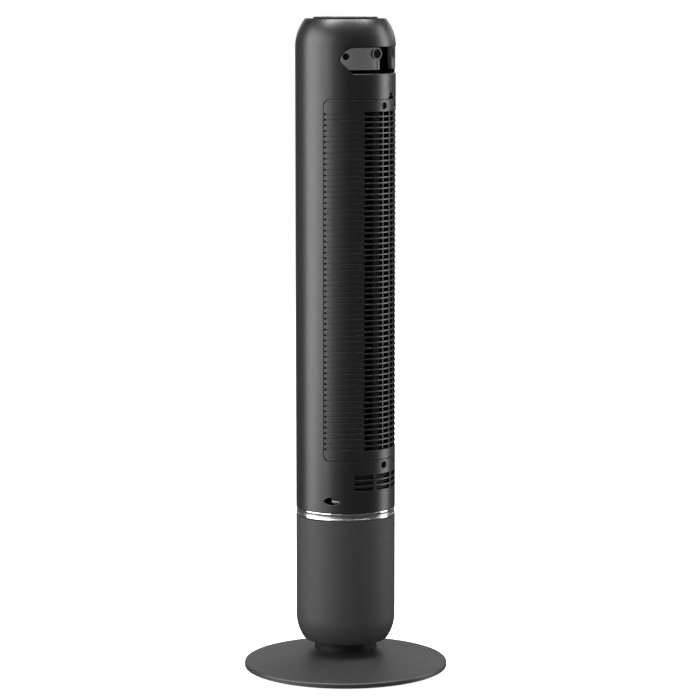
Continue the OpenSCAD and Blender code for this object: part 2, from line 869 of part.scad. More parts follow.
module control_panel() {
    color("#0f0f10") difference() {
        union() {
            translate([0, 0, disc_top - 2.4]) cylinder(r = disc_r, h = 2.4, $fn = 180);
            tube(disc_r - 2, disc_r, disc_top - 9, disc_top - 2);
            for (a = [0, 120, -120]) {
                band(disc_r - 1, disc_r + 2, a - 6, a + 6, rim_z - 5.2, rim_z - wall - 0.2);
            }
            around(3, 38, 90) translate([0, 0, board_z + 1.8]) {
                cylinder(r = 3, h = disc_top - board_z - 3, $fn = 32);
            }
        }
        for (a = button_angles) rotate([0, 0, a]) translate([0, -button_ring, disc_top - 5]) {
            cylinder(r = button_r + 0.35, h = 10);
        }
        translate([-19.2, 2.8, disc_top - 5]) cube([38.4, 14.4, 10]);
    }
}

module display_window() {
    color("#050506") translate([-19, 3, disc_top - 2.4]) cube([38, 14, 2.4]);
}

module display_module() {
    color("#1a1a1c") translate([-16, 4, board_z + 1.6]) cube([32, 12, 9]);
}

module control_board() {
    color("#2e6b3f") difference() {
        translate([0, 0, board_z]) cylinder(r = 42.5, h = 1.6);
        around(3, 38, 90) translate([0, 0, board_z - 1]) cylinder(r = 1.5, h = 4, $fn = 24);
    }
}

module tact_switches() {
    color("#26272a") for (a = button_angles) {
        rotate([0, 0, a]) translate([0, -button_ring, board_z + 1.65]) {
            translate([-3, -3, 0]) cube([6, 6, 3.6]);
            translate([0, 0, 3]) cylinder(r = 1.7, h = 2, $fn = 32);
        }
    }
}

// Cap that travels down through the control panel onto a switch
module button(a) {
    color("#1c1c1e") rotate([0, 0, a]) translate([0, -button_ring, 0]) union() {
        translate([0, 0, total_h - 3]) cylinder(r = button_r, h = 3);
        translate([0, 0, total_h - 4.4]) cylinder(r = button_r + 1.2, h = 1.5);
        translate([0, 0, board_z + 7.7]) cylinder(r = 2, h = 6, $fn = 32);
    }
}

module power_button() {
    button(button_angles[0]);
}

module speed_button() {
    button(button_angles[1]);
}

module swing_button() {
    button(button_angles[2]);
}

module timer_button() {
    button(button_angles[3]);
}

// ---------- wiring ----------

// Quarter turn of the loom in the upright plane at y = 10, starting at an angle
module wire_bend(x, z, start) {
    translate([x, 10, z]) rotate([90, 0, 0]) rotate([0, 0, start]) {
        rotate_extrude(angle = 90, $fn = 64) translate([10, 0]) circle(r = 3, $fn = 32);
    }
}

module wiring_loom() {
    color("#1b1b1c") union() {
        translate([-12, 10, 200]) cylinder(r = 3, h = 42, $fn = 32);
        wire_bend(-22, 242, 0);
        translate([-53, 10, 252]) rotate([0, 90, 0]) cylinder(r = 3, h = 31, $fn = 32);
        wire_bend(-53, 262, 180);
        translate([-63, 10, 262]) cylinder(r = 3, h = 660, $fn = 32);
        wire_bend(-53, 922, 90);
        translate([-53, 10, 932]) rotate([0, 90, 0]) cylinder(r = 3, h = 13, $fn = 32);
        wire_bend(-40, 942, 270);
    }
}

module cord_gland() {
    color("#77797d") difference() {
        union() {
            translate([48, cord_y, cord_z]) rotate([0, 90, 0]) cylinder(r = 6.4, h = 12);
            translate([55, cord_y, cord_z]) rotate([0, 90, 0]) cylinder(r = 4.3, h = 15.8);
            translate([48, cord_y - 10, cord_z - 9]) cube([3, 20, 18]);
        }
        translate([40, cord_y, cord_z]) rotate([0, 90, 0]) cylinder(r = 3.3, h = 40);
    }
}

base_cover();
base_weight();
base_plate();
rubber_feet();
base_screws();
neck();
neck_nut();
thrust_washer();
fixed_gear();
gear_screws();
pedestal_floor();
floor_screws();
pedestal_shell();
swing_motor();
swing_bracket();
bracket_screws();
coupling_plate();
coupling_screws();
trim_ring();
power_board();
power_parts();
run_capacitor();
board_carrier();
housing();
rear_panel();
rear_screws();
front_grille();
outlet_vanes();
motor_plate();
motor_case();
stator_core();
stator_windings();
motor_cover();
motor_grommets();
motor_screws();
air_guide();
air_tongue();
top_divider();
bearing_holder();
top_bush();
handle_plate();
handle_pocket();
handle_screws();
control_panel();
display_window();
display_module();
control_board();
tact_switches();
wiring_loom();
cord_gland();
impeller();
impeller_hub();
motor_shaft();
rotor_core();
top_pin();
swing_pinion();
power_button();
speed_button();
swing_button();
timer_button();
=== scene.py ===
"""Looks of a tower fan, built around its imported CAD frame. Blender 4.5.

Sizes are in millimetres unless a name says otherwise, and MM turns them into metres.
Rear angles are counted in degrees from +Y towards +X, seen from above.
"""

import bmesh
import bpy
import numpy as np
from math import acos, asin, cos, degrees, pi, radians, sin, tan
from mathutils import Matrix, Vector
from mathutils.geometry import delaunay_2d_cdt, intersect_point_line


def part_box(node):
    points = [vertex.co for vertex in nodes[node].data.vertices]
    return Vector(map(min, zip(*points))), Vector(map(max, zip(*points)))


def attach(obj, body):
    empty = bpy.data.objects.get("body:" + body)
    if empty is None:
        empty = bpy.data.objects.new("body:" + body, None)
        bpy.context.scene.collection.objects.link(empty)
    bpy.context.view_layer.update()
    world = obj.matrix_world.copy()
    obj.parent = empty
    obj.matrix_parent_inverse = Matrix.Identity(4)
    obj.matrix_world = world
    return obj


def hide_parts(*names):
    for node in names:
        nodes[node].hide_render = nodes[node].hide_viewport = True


MM = 0.001
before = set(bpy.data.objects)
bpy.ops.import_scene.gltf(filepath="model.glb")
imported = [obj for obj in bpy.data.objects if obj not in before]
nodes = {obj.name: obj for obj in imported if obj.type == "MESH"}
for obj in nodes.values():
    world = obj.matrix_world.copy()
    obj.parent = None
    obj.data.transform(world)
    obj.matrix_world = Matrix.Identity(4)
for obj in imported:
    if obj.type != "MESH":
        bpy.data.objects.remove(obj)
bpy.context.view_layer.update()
scene = bpy.context.scene
scene.view_settings.view_transform = "Standard"


def low(node):
    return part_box(node)[0] / MM


def high(node):
    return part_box(node)[1] / MM


# ---------- driving sizes, from the frame where it has them ----------

BODY_R = high("housing").x
WALL = 2.8
EDGE = 0.4
HOUSE_Z0 = low("housing").z
RIM_Z = high("housing").z - 1.2
SHOULDER_Z = RIM_Z - 40.5
SHOULDER_R = 64.8
SEAM_ANGLE = 120
DISC_R = high("control_panel").x
DISC_TOP = high("control_panel").z
TOTAL_H = high("power_button").z
RING_Z0 = low("trim_ring").z
RING_Z1 = high("trim_ring").z
RING_R = high("trim_ring").x
PED_Z0 = low("pedestal_shell").z
PED_Z1 = high("pedestal_shell").z
FOOT_ARC = 62
FOOT_ARC_Z = 81
BASE_R = high("base_cover").x
FOOT_H = low("base_cover").z
FOOT_RING = 128
CONE_TOP = high("base_cover").z
NECK_R = high("neck").x
NECK_TOP = 43
PANEL_Z0 = low("rear_panel").z
PANEL_Z1 = PANEL_Z0 + 522
PANEL_T = 2.7
PANEL_EDGE = 0.35
PANEL_SIDE = 90
LEDGE_SIDE = 93
FIELD_Z = (PANEL_Z0 + PANEL_Z1) / 2 - 1.4
RIB_N = 61
RIB_PITCH = 7.95
RIB_H = 2.2
FIELD_HALF = RIB_PITCH * RIB_N / 2 + RIB_H
SLOT_HALF = 42.2
GRILLE_Z0 = low("front_grille").z
GRILLE_Z1 = high("front_grille").z
FRONT = -180
SCREW_ANGLE = 14
SCREW_HOLE_R = 5
LOW_SCREW_Z = 311
HIGH_SCREW_Z = 833
VENT_ROWS = [(275.3, 280.8), (283.4, 289.4), (291.7, 298.5)]
VENT_COLUMNS = (-42, -14, 14, 42)
VENT_Z0 = 273
VENT_Z1 = 301
HANDLE_Z0 = 879.3
HANDLE_Z1 = 917
HANDLE_R = BODY_R - 0.5
HANDLE_END = 62
ARCH_R = 24
ARCH_X = 12
PLATE_END = 71
ROLL_R = 29.5
ROLL_ANGLE = 34
ROLL_END = 20.3
FINGER_HALF = 19
# Handle screw bosses: rear angle, height, radius, depth and radius of the hole.
BOSSES = [(24.7, 907.5, 8.9, 8.6, 6.7), (63.5, 904, 7.4, 6.2, 6.0)]
CORD_Y = (low("cord_gland").y + high("cord_gland").y) / 2
CORD_Z = (low("cord_gland").z + high("cord_gland").z) / 2
CORD_ARC_R = 17
CORD_ARC_OFF = 11.5
BUTTON_R = 5.6
BUTTON_RING = 31
BUTTONS = {"power": -48, "speed": -16, "swing": 16, "timer": 48}


# ---------- shader helpers ----------


def node_of(tree, kind, inputs=None, **settings):
    """Adds a shader node, sets its attributes, and fills or links its sockets."""
    n = tree.nodes.new(kind)
    for key, value in settings.items():
        setattr(n, key, value)
    for key, value in (inputs or {}).items():
        if isinstance(value, bpy.types.NodeSocket):
            tree.links.new(value, n.inputs[key])
        else:
            n.inputs[key].default_value = value
    return n


def start_material(name):
    mat = bpy.data.materials.new(name)
    mat.use_nodes = True
    tree = mat.node_tree
    place = node_of(tree, "ShaderNodeTexCoord").outputs["Object"]
    return mat, tree, tree.nodes["Principled BSDF"], place


def noise(tree, place, scale, detail=2.0, rough=0.5):
    sockets = {"Vector": place, "Scale": scale, "Detail": detail, "Roughness": rough}
    return node_of(tree, "ShaderNodeTexNoise", sockets).outputs["Fac"]


def spread(tree, value, low_out, high_out, low_in=0.3, high_in=0.7):
    """Maps the useful middle of a noise onto a range."""
    sockets = {
        "Value": value, "From Min": low_in, "From Max": high_in,
        "To Min": low_out, "To Max": high_out,
    }
    return node_of(tree, "ShaderNodeMapRange", sockets).outputs["Result"]


def blend(tree, fac, a, b):
    """Mixes two colours, each a socket or three numbers."""
    n = node_of(tree, "ShaderNodeMix", data_type="RGBA")
    for socket, value in ((n.inputs[0], fac), (n.inputs[6], a), (n.inputs[7], b)):
        if isinstance(value, bpy.types.NodeSocket):
            tree.links.new(value, socket)
        elif isinstance(value, (tuple, list)):
            socket.default_value = (*value[:3], 1)
        else:
            socket.default_value = value
    return n.outputs[2]


def raised(tree, height, depth, after=None, strength=1.0):
    """Bump from a height of 0 to 1 that stands for a depth in metres."""
    sockets = {"Height": height, "Distance": depth, "Strength": strength}
    if after is not None:
        sockets["Normal"] = after
    return node_of(tree, "ShaderNodeBump", sockets).outputs["Normal"]


def wired(mat, colour, rough=None, normal=None):
    """The material, with these sockets feeding its shader."""
    tree = mat.node_tree
    shader = tree.nodes["Principled BSDF"]
    for name, socket in (("Base Color", colour), ("Roughness", rough), ("Normal", normal)):
        if socket is not None:
            tree.links.new(socket, shader.inputs[name])
    return mat


def grey(level, tint=0.0):
    """A near-neutral colour; a positive tint is a little blue."""
    return (level * (1 - tint), level, level * (1 + tint))


def dimmed(colour, factor):
    return tuple(c * factor for c in colour)


def mottled(tree, value, colour, least, most):
    """A colour that a noise varies between two factors of itself."""
    return blend(tree, spread(tree, value, 0, 1), dimmed(colour, least), dimmed(colour, most))


def moulded(name, colour, rough, ior=1.5, grain=2400, depth=0.00003, mottle=0.1, coat=0.0):
    """Moulded plastic: slight mottling, a fine spark-eroded grain and faint handling marks."""
    mat, tree, shader, place = start_material(name)
    fine = noise(tree, place, grain, 2)
    tone = mottled(tree, noise(tree, place, 22, 4), colour, 1 - mottle, 1 + mottle)
    tone = blend(tree, 0.5, tone, mottled(tree, fine, colour, 0.86, 1.14))
    shader.inputs["IOR"].default_value = ior
    shader.inputs["Coat Weight"].default_value = coat
    shader.inputs["Coat Roughness"].default_value = 0.12
    marks = spread(tree, noise(tree, place, 70, 8, 0.72), rough * 0.93, rough * 1.08)
    waves = raised(tree, noise(tree, place, 9, 1), 0.00012, strength=0.4)
    return wired(mat, tone, marks, raised(tree, fine, depth, waves, 0.7))


def metal(name, colour, rough, depth=0.00001, stain=0.08, along=(1, 1, 1)):
    """Bare or plated metal with streaks that are long along the small numbers of along."""
    mat, tree, shader, place = start_material(name)
    shader.inputs["Metallic"].default_value = 1.0
    stretched = node_of(tree, "ShaderNodeMapping", {"Vector": place, "Scale": along}).outputs[0]
    streaks = noise(tree, stretched, 900, 4, 0.6)
    tone = mottled(tree, noise(tree, place, 60, 5), colour, 1 - stain, 1 + stain)
    sheen = spread(tree, streaks, rough * 0.8, rough * 1.25)
    return wired(mat, tone, sheen, raised(tree, streaks, depth, strength=0.5))


def striped(name, colour, gap, pitch, rough, metallic):
    """A stack of sheets or a wound coil: fine dark level lines."""
    mat, tree, shader, place = start_material(name)
    shader.inputs["Metallic"].default_value = metallic
    lines = node_of(
        tree, "ShaderNodeTexWave",
        {"Vector": place, "Scale": pi / 10 / pitch, "Distortion": 0.4, "Detail": 1.0, "Detail Scale": 40.0},
        bands_direction="Z",
    ).outputs["Fac"]
    patches = spread(tree, noise(tree, place, 120, 4), 0.8, 1.0)
    tone = blend(tree, patches, gap, blend(tree, spread(tree, lines, 0, 1, 0.1, 0.6), gap, colour))
    sheen = spread(tree, lines, rough * 1.3, rough, 0, 1)
    return wired(mat, tone, sheen, raised(tree, lines, 0.0001, strength=0.6))


def cast_iron(name, colour):
    mat, tree, shader, place = start_material(name)
    shader.inputs["Metallic"].default_value = 0.55
    lumps = noise(tree, place, 260, 8, 0.7)
    rust = spread(tree, noise(tree, place, 35, 6), 0, 0.5, 0.5, 0.8)
    tone = blend(tree, rust, mottled(tree, lumps, colour, 0.6, 1.3), (0.11, 0.05, 0.03))
    return wired(mat, tone, spread(tree, lumps, 0.5, 0.8), raised(tree, lumps, 0.0004, strength=0.8))


def board(name):
    """Green solder mask with copper tracks under it and tinned pads."""
    mat, tree, _, place = start_material(name)
    tracks = node_of(
        tree, "ShaderNodeTexBrick",
        {"Vector": place, "Scale": 260.0, "Mortar Size": 0.06, "Brick Width": 0.9, "Row Height": 0.35},
    ).outputs["Fac"]
    cells = node_of(tree, "ShaderNodeTexVoronoi", {"Vector": place, "Scale": 190.0}).outputs["Distance"]
    mask = blend(tree, tracks, (0.012, 0.09, 0.035), (0.03, 0.17, 0.06))
    tone = blend(tree, spread(tree, cells, 1, 0, 0.1, 0.14), mask, (0.6, 0.6, 0.56))
    return wired(mat, tone, spread(tree, cells, 0.25, 0.42, 0, 1), raised(tree, tracks, 0.00005))


def rubber(name, colour, rough):
    mat, tree, _, place = start_material(name)
    dust = spread(tree, noise(tree, place, 90, 7, 0.7), 0, 0.35, 0.45, 0.8)
    skin = noise(tree, place, 1400, 3)
    tone = blend(tree, dust, colour, dimmed(colour, 3.2))
    return wired(mat, tone, spread(tree, skin, rough * 0.92, rough * 1.06), raised(tree, skin, 0.00006))


def glass(name, colour):
    """Dark smoked window with a faint fingerprint haze."""
    mat, tree, shader, place = start_material(name)
    haze = noise(tree, place, 160, 6, 0.7)
    shader.inputs["Coat Weight"].default_value = 0.5
    shader.inputs["Coat Roughness"].default_value = 0.03
    return wired(mat, mottled(tree, haze, colour, 1, 1.6), spread(tree, haze, 0.05, 0.13))


def ink(name, colour):
    mat, tree, _, place = start_material(name)
    wear = spread(tree, noise(tree, place, 1500, 5, 0.7), 0.75, 1.0)
    tone = blend(tree, wear, dimmed(colour, 0.5), colour)
    return wired(mat, tone, spread(tree, noise(tree, place, 800, 3), 0.45, 0.6))


SATIN = grey(0.0035, 0.015)
MATT = grey(0.013, 0.01)

# Values follow the order of the arguments of moulded, rubber, metal and striped.
MATERIALS = {name: kind(name, *values) for kind, name, *values in [
    (moulded, "housing_plastic", SATIN, 0.35, 1.46, 3000, 0.00002),
    (moulded, "panel_plastic", SATIN, 0.36, 1.46, 3000, 0.00002),
    (moulded, "handle_plastic", grey(0.043), 0.6, 1.5, 2000, 0.00004),
    # Near black with hardly any reflection: painted shade for the finger recess, and for the cups, plugs,
    # bars, blades and skirt that use it.
    (moulded, "pocket_plastic", grey(0.002), 0.8, 1.15),
    (moulded, "pedestal_plastic", MATT, 0.6, 1.42, 2200, 0.00004),
    (moulded, "base_plastic", dimmed(MATT, 0.85), 0.45, 1.5, 2200, 0.00004),
    (moulded, "grille_plastic", grey(0.008), 0.45),
    (moulded, "inner_plastic", grey(0.004), 0.65, 1.35),
    (moulded, "impeller_plastic", grey(0.003), 0.6, 1.35),
    (moulded, "control_gloss", grey(0.004), 0.2, 1.5, 1200, 0.00001, 0.1, 0.2),
    (moulded, "button_plastic", grey(0.02), 0.4, 1.5, 2600),
    (moulded, "component_plastic", grey(0.025), 0.45, 1.5, 1800),
    (moulded, "capacitor_case", (0.62, 0.6, 0.52), 0.4),
    (moulded, "gland_plastic", grey(0.13, 0.01), 0.55, 1.5, 1800),
    (moulded, "acetal", (0.72, 0.7, 0.63), 0.32, 1.5, 1500, 0.00002, 0.04),
    (rubber, "cable_jacket", grey(0.012), 0.5),
    (rubber, "rubber", grey(0.012), 0.72),
    (glass, "display_gloss", grey(0.003, 0.1)),
    (board, "circuit_board"),
    (cast_iron, "ballast_iron", grey(0.12)),
    (metal, "screw_steel", grey(0.5, 0.01), 0.3),
    (metal, "black_screw", grey(0.015), 0.55),
    (metal, "plated_steel", grey(0.55, 0.02), 0.32, 0.00001, 0.08, (1, 0.1, 1)),
    (metal, "shaft_steel", grey(0.6, 0.01), 0.18, 0.00001, 0.08, (1, 1, 0.05)),
    (metal, "motor_alloy", grey(0.3, 0.01), 0.5, 0.00003),
    (striped, "lamination_steel", grey(0.3, 0.02), grey(0.04), 0.0005, 0.4, 0.9),
    (striped, "copper_wire", (0.62, 0.25, 0.1), (0.12, 0.03, 0.01), 0.0008, 0.3, 0.95),
    (metal, "bronze", (0.5, 0.33, 0.14), 0.38, 0.00003, 0.15),
    (metal, "chrome_trim", grey(0.5, 0.008), 0.13, 0.00001, 0.08, (0.05, 0.05, 1)),
]}
# The near-black pocket material, put on parts of other slots as painted shade in holes, slots and under
# edges.
PAINTED_SHADE_BLACK = MATERIALS["pocket_plastic"]
ICON_INK = ink("icon_ink", grey(0.55))
# A darker, duller copy of the base plastic for the neck: painted shade under the pedestal.
NECK_PAINTED_SHADE = moulded("neck_painted_shade", grey(0.003), 0.7, ior=1.3)
BAND_DARK = metal("trim_band_satin", grey(0.3, 0.01), 0.28, along=(0.05, 0.05, 1))


def finish_cad_nodes():
    """Gives every carried-over CAD node the procedural material of its slot."""
    for obj in nodes.values():
        for holder in obj.material_slots:
            holder.material = MATERIALS[holder.material.name.split(".")[0]]


# ---------- mesh helpers ----------


def arc(cx, cy, r, a0, a1, n):
    """Points of an arc, ends included; angles in degrees from +x."""
    angles = [radians(a0 + (a1 - a0) * i / n) for i in range(n + 1)]
    return [(cx + r * cos(a), cy + r * sin(a)) for a in angles]


def rounded(corners, steps=4):
    """A polyline from (x, y, radius) corners, with an arc at each one that has a radius."""
    out = []
    n = len(corners)
    for i, (x, y, r) in enumerate(corners):
        if r <= 0:
            out.append((x, y))
            continue
        here = Vector((x, y))
        back = (Vector(corners[i - 1][:2]) - here).normalized()
        ahead = (Vector(corners[(i + 1) % n][:2]) - here).normalized()
        half = acos(max(-1, min(1, back.dot(ahead)))) / 2
        reach = r / tan(half)
        middle = here + (back + ahead).normalized() * (r / sin(half))
        start = here + back * reach - middle
        turn = start.angle_signed(here + ahead * reach - middle)
        for k in range(steps + 1):
            spoke = start.copy()
            spoke.rotate(Matrix.Rotation(-turn * k / steps, 2))
            out.append(tuple(middle + spoke))
    return out


def box_loop(x0, y0, x1, y1, r, steps=2):
    return rounded([(x0, y0, r), (x1, y0, r), (x1, y1, r), (x0, y1, r)], steps)


def round_loop(x, y, r, n=28):
    return arc(x, y, r, 0, 360 * (n - 1) / n, n - 1)


def plan_spot(radius, angle, cx=0, cy=0):
    """The point in plan at a radius and rear angle."""
    return cx + radius * sin(radians(angle)), cy + radius * cos(radians(angle))


def plan_arc(radius, start, stop, n, cx=0, cy=0):
    """Points of an arc in plan between two rear angles, ends included."""
    return [plan_spot(radius, angle, cx, cy) for angle in np.linspace(start, stop, n)]


def new_object(name, data):
    obj = bpy.data.objects.new(name, data)
    scene.collection.objects.link(obj)
    return obj


def add_piece(name, mesh, slot, *replaced, body="column", material=None):
    """A mesh as a visible piece that rides on a body and stands for the replaced nodes."""
    obj = new_object(name, mesh)
    mesh.materials.append(material or MATERIALS[slot])
    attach(obj, body)
    if replaced:
        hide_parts(*replaced)
    return obj


def turned(outline, steps=160, place=Matrix.Identity(4), closed=True):
    """A mesh turned about +Z from a (radius, height) outline, then moved by place."""
    verts, faces = [], []
    n = len(outline)
    for k in range(steps):
        a = 2 * pi * k / steps
        verts += [(r * sin(a) * MM, r * cos(a) * MM, z * MM) for r, z in outline]
        for i in range(n if closed else n - 1):
            j = (i + 1) % n
            after = (k + 1) % steps
            faces.append((k * n + i, k * n + j, after * n + j, after * n + i))
    mesh = bpy.data.meshes.new("turned")
    mesh.from_pydata(verts, [], faces)
    bm = bmesh.new()
    bm.from_mesh(mesh)
    bmesh.ops.remove_doubles(bm, verts=bm.verts, dist=1e-7)
    bmesh.ops.dissolve_degenerate(bm, edges=bm.edges, dist=1e-8)
    bmesh.ops.recalc_face_normals(bm, faces=bm.faces)
    bm.transform(place)
    bm.to_mesh(mesh)
    bm.free()
    return smoothed(mesh, 40)


def baked(bm):
    """The mesh of an edit mesh, which goes away."""
    mesh = bpy.data.meshes.new("baked")
    bm.to_mesh(mesh)
    bm.free()
    return mesh


def smoothed(mesh, sharp):
    """The mesh shaded smooth, with edges past an angle in degrees kept sharp."""
    mesh.polygons.foreach_set("use_smooth", [True] * len(mesh.polygons))
    mesh.set_sharp_from_angle(angle=radians(sharp))
    return mesh


def joined(meshes):
    """One mesh from several."""
    bm = bmesh.new()
    for mesh in meshes:
        bm.from_mesh(mesh)
    return baked(bm)


def weighted(obj):
    """Keeps big faces flat next to their rounded edges."""
    mod = obj.modifiers.new("weighted", "WEIGHTED_NORMAL")
    mod.keep_sharp = True
    mod.weight = 80
    return obj


def turned_piece(name, outline, slot, *replaced, body="column", **options):
    """A turned mesh as a piece, with weighted normals."""
    return weighted(add_piece(name, turned(outline, **options), slot, *replaced, body=body))


def outward(angle, radius, z):
    """Matrix that puts +Z on the radius at a rear angle, from a distance off the axis."""
    a = radians(angle)
    spoke = Vector((sin(a), cos(a), 0))
    across = Vector((cos(a), -sin(a), 0))
    up = spoke.cross(across)
    turn = Matrix((across, up, spoke)).transposed().to_4x4()
    return Matrix.Translation((spoke * radius + Vector((0, 0, z))) * MM) @ turn


class Path:
    """A line in a plane, looked up by length, with the normals on its right-hand side."""

    def __init__(self, points):
        p = np.array(points, float)
        run = np.diff(p, axis=0)
        length = np.hypot(run[:, 0], run[:, 1])
        way = run / length[:, None]
        way = np.vstack([way[:1], way[:-1] + way[1:], way[-1:]])
        way /= np.linalg.norm(way, axis=1)[:, None]
        self.length = np.concatenate([[0], np.cumsum(length)])
        self.table = np.hstack([p, way])

    def at(self, s):
        a, b, wa, wb = [np.interp(s, self.length, column) for column in self.table.T]
        size = np.hypot(wa, wb)
        return a, b, wa / size, wb / size


def rows_of(*columns):
    return np.stack(columns, 1)


def round_the_axis(profile, start, radius):
    """Wraps a flat sheet round +Z: x is arc length at a radius, y runs along a profile."""

    def place(x, y, t):
        a = -x / radius
        r, z, wr, wz = profile.at(y - start)
        sa, ca, none = np.sin(a), np.cos(a), np.zeros_like(a)
        out = r + wz * t
        spot = rows_of(out * sa, out * ca, z - wr * t)
        up, off = rows_of(wr * sa, wr * ca, wz), rows_of(wz * sa, wz * ca, -wr)
        return spot, rows_of(-ca, sa, none), up, off

    return place


def along_the_plan(plan):
    """Stands a flat sheet upright on a line in plan: x runs along the line, y is height."""

    def place(x, y, t):
        px, py, wx, wy = plan.at(x)
        none, one = np.zeros_like(x), np.ones_like(x)
        spot = rows_of(px + wy * t, py - wx * t, y)
        return spot, rows_of(wx, wy, none), rows_of(none, none, one), rows_of(wy, -wx, none)

    return place


def flat_on_top(z):
    """Lays a flat sheet level, facing up."""

    def place(x, y, t):
        none, one = np.zeros_like(x), np.ones_like(x)
        along, up, off = rows_of(one, none, none), rows_of(none, one, none), rows_of(none, none, one)
        return rows_of(x, y, z + t), along, up, off

    return place


def enclosed(loop, spots):
    """1 for each of many points that a closed line goes round, else 0."""
    p = np.array(loop, float)
    q = np.roll(p, -1, 0)
    x, y = spots[:, :1], spots[:, 1:2]
    rise = np.where(q[:, 1] == p[:, 1], 1, q[:, 1] - p[:, 1])
    reach = p[:, 0] + (y - p[:, 1]) * (q[:, 0] - p[:, 0]) / rise
    crossed = ((p[:, 1] > y) != (q[:, 1] > y)) & (x < reach)
    return crossed.sum(1) % 2


def solid_on_left(loops):
    """The loops, each turned so that the plate lies on its left."""
    starts = np.array([loop[0] for loop in loops], float)
    around = np.array([enclosed(loop, starts) for loop in loops])
    np.fill_diagonal(around, 0)
    out = []
    for loop, depth in zip(loops, around.sum(0)):
        area = sum(x0 * y1 - x1 * y0 for (x0, y0), (x1, y1) in zip(loop, loop[1:] + loop[:1]))
        out.append(loop if (area < 0) == (depth % 2 == 1) else loop[::-1])
    return out


def cut_sheet(loops, thick, edge, rounds):
    """A flat plate with holes and rounded edges; its outer face is at 0, its inner at -thick."""
    turns = [pi / 2 * k / (rounds + 1) for k in range(rounds + 2)]
    section = [(edge * (1 - sin(t)), -edge * (1 - cos(t))) for t in turns]
    section += [(inset, -thick - z) for inset, z in reversed(section)]
    bm = bmesh.new()
    front, back, links, borders = [], [], [], []
    for loop in solid_on_left(loops):
        p = np.array(loop, float)
        ahead = np.roll(p, -1, 0) - p
        ahead /= np.hypot(*ahead.T)[:, None]
        left = rows_of(-ahead[:, 1], ahead[:, 0])
        before = np.roll(left, 1, 0)
        mitre = (left + before) / np.maximum(1 + (left * before).sum(1), 0.3)[:, None]
        rings = [[bm.verts.new((*(q + m * inset), z)) for q, m in zip(p, mitre)] for inset, z in section]
        n = len(loop)
        for upper, lower in zip(rings, rings[1:]):
            for i in range(n):
                bm.faces.new((upper[i], lower[i], lower[(i + 1) % n], upper[(i + 1) % n]))
        links += [(len(front) + i, len(front) + (i + 1) % n) for i in range(n)]
        front += rings[0]
        back += rings[-1]
        borders.append([v.co.xy for v in rings[0]])
    inside_only = 1
    filled = delaunay_2d_cdt([v.co.xy for v in front], links, [], inside_only, 1e-6)
    corners = np.array([[filled[3][i][0] for i in face] for face in filled[2]])
    middles = np.array([v.co.xy for v in front])[corners].mean(1)
    solid = sum(enclosed(border, middles) for border in borders) % 2 == 1
    for i, j, k in corners[solid]:
        bm.faces.new((front[i], front[j], front[k]))
        bm.faces.new((back[k], back[j], back[i]))
    return bm


def soften(bm, loop, edge, factor):
    """Enlarges the rounding of one opening's outer edge."""
    ring = [Vector(p) for p in loop]
    sides = list(zip(ring, ring[1:] + ring[:1]))
    for v in [v for v in bm.verts if v.co.z > -1.01 * edge]:
        best = None
        for a, b in sides:
            spot, share = intersect_point_line(v.co.xy, a, b)
            spot = a.lerp(b, min(1, max(0, share)))
            if best is None or (spot - v.co.xy).length < (best - v.co.xy).length:
                best = spot
        off = v.co.xy - best
        if off.length < 1.4 * edge:
            v.co.xy = best + off * factor
            v.co.z *= factor


def tube(points, radius, cyclic=False):
    """A round bar along a line in space, with closed ends."""
    curve = bpy.data.curves.new("tube", "CURVE")
    curve.dimensions = "3D"
    curve.bevel_depth = radius
    curve.bevel_resolution = 3
    curve.use_fill_caps = True
    line = curve.splines.new("POLY")
    line.points.add(len(points) - 1)
    for point, spot in zip(line.points, points):
        point.co = (*spot, 1)
    line.use_cyclic_u = cyclic
    mesh = mesh_of(curve)
    bm = bmesh.new()
    bm.from_mesh(mesh)
    bmesh.ops.remove_doubles(bm, verts=bm.verts, dist=1e-4)
    bm.to_mesh(mesh)
    bm.free()
    return smoothed(mesh, 50)


def mesh_of(curve):
    """The mesh that a curve makes; the curve goes away."""
    holder = new_object(curve.name, curve)
    graph = bpy.context.evaluated_depsgraph_get()
    mesh = bpy.data.meshes.new_from_object(holder.evaluated_get(graph))
    bpy.data.objects.remove(holder)
    return mesh


def cut_across(bm, axis, places, chosen=None, trim=0):
    """Cuts a flat plate along lines; a trim of 1 or -1 also drops what is past them."""
    faces = [f for f in bm.faces if chosen is None or chosen(f)]
    geom = list({v for f in faces for v in f.verts}) + list({e for f in faces for e in f.edges}) + faces
    normal = (1, 0, 0) if axis == 0 else (0, 1, 0)
    for value in places:
        result = bmesh.ops.bisect_plane(
            bm, geom=geom, dist=1e-4, plane_co=(value, value, 0), plane_no=normal,
            clear_outer=trim > 0, clear_inner=trim < 0,
        )
        geom = [part for part in result["geom"] if part.is_valid]


def vectors(items, key):
    """A three-number property of many mesh items, a row for each."""
    out = np.zeros(len(items) * 3, np.float32)
    items.foreach_get(key, out)
    return out.reshape(-1, 3).astype(float)


def counts(items, key):
    """A whole-number property of many mesh items."""
    out = np.zeros(len(items), np.int64)
    items.foreach_get(key, out)
    return out


def mesh_with_normals(verts, faces, normals):
    """A smooth mesh with a normal given for each corner of each face."""
    mesh = bpy.data.meshes.new("bent")
    mesh.from_pydata(verts, [], faces)
    mesh.polygons.foreach_set("use_smooth", [True] * len(mesh.polygons))
    mesh.update()
    mesh.normals_split_custom_set(normals)
    return mesh


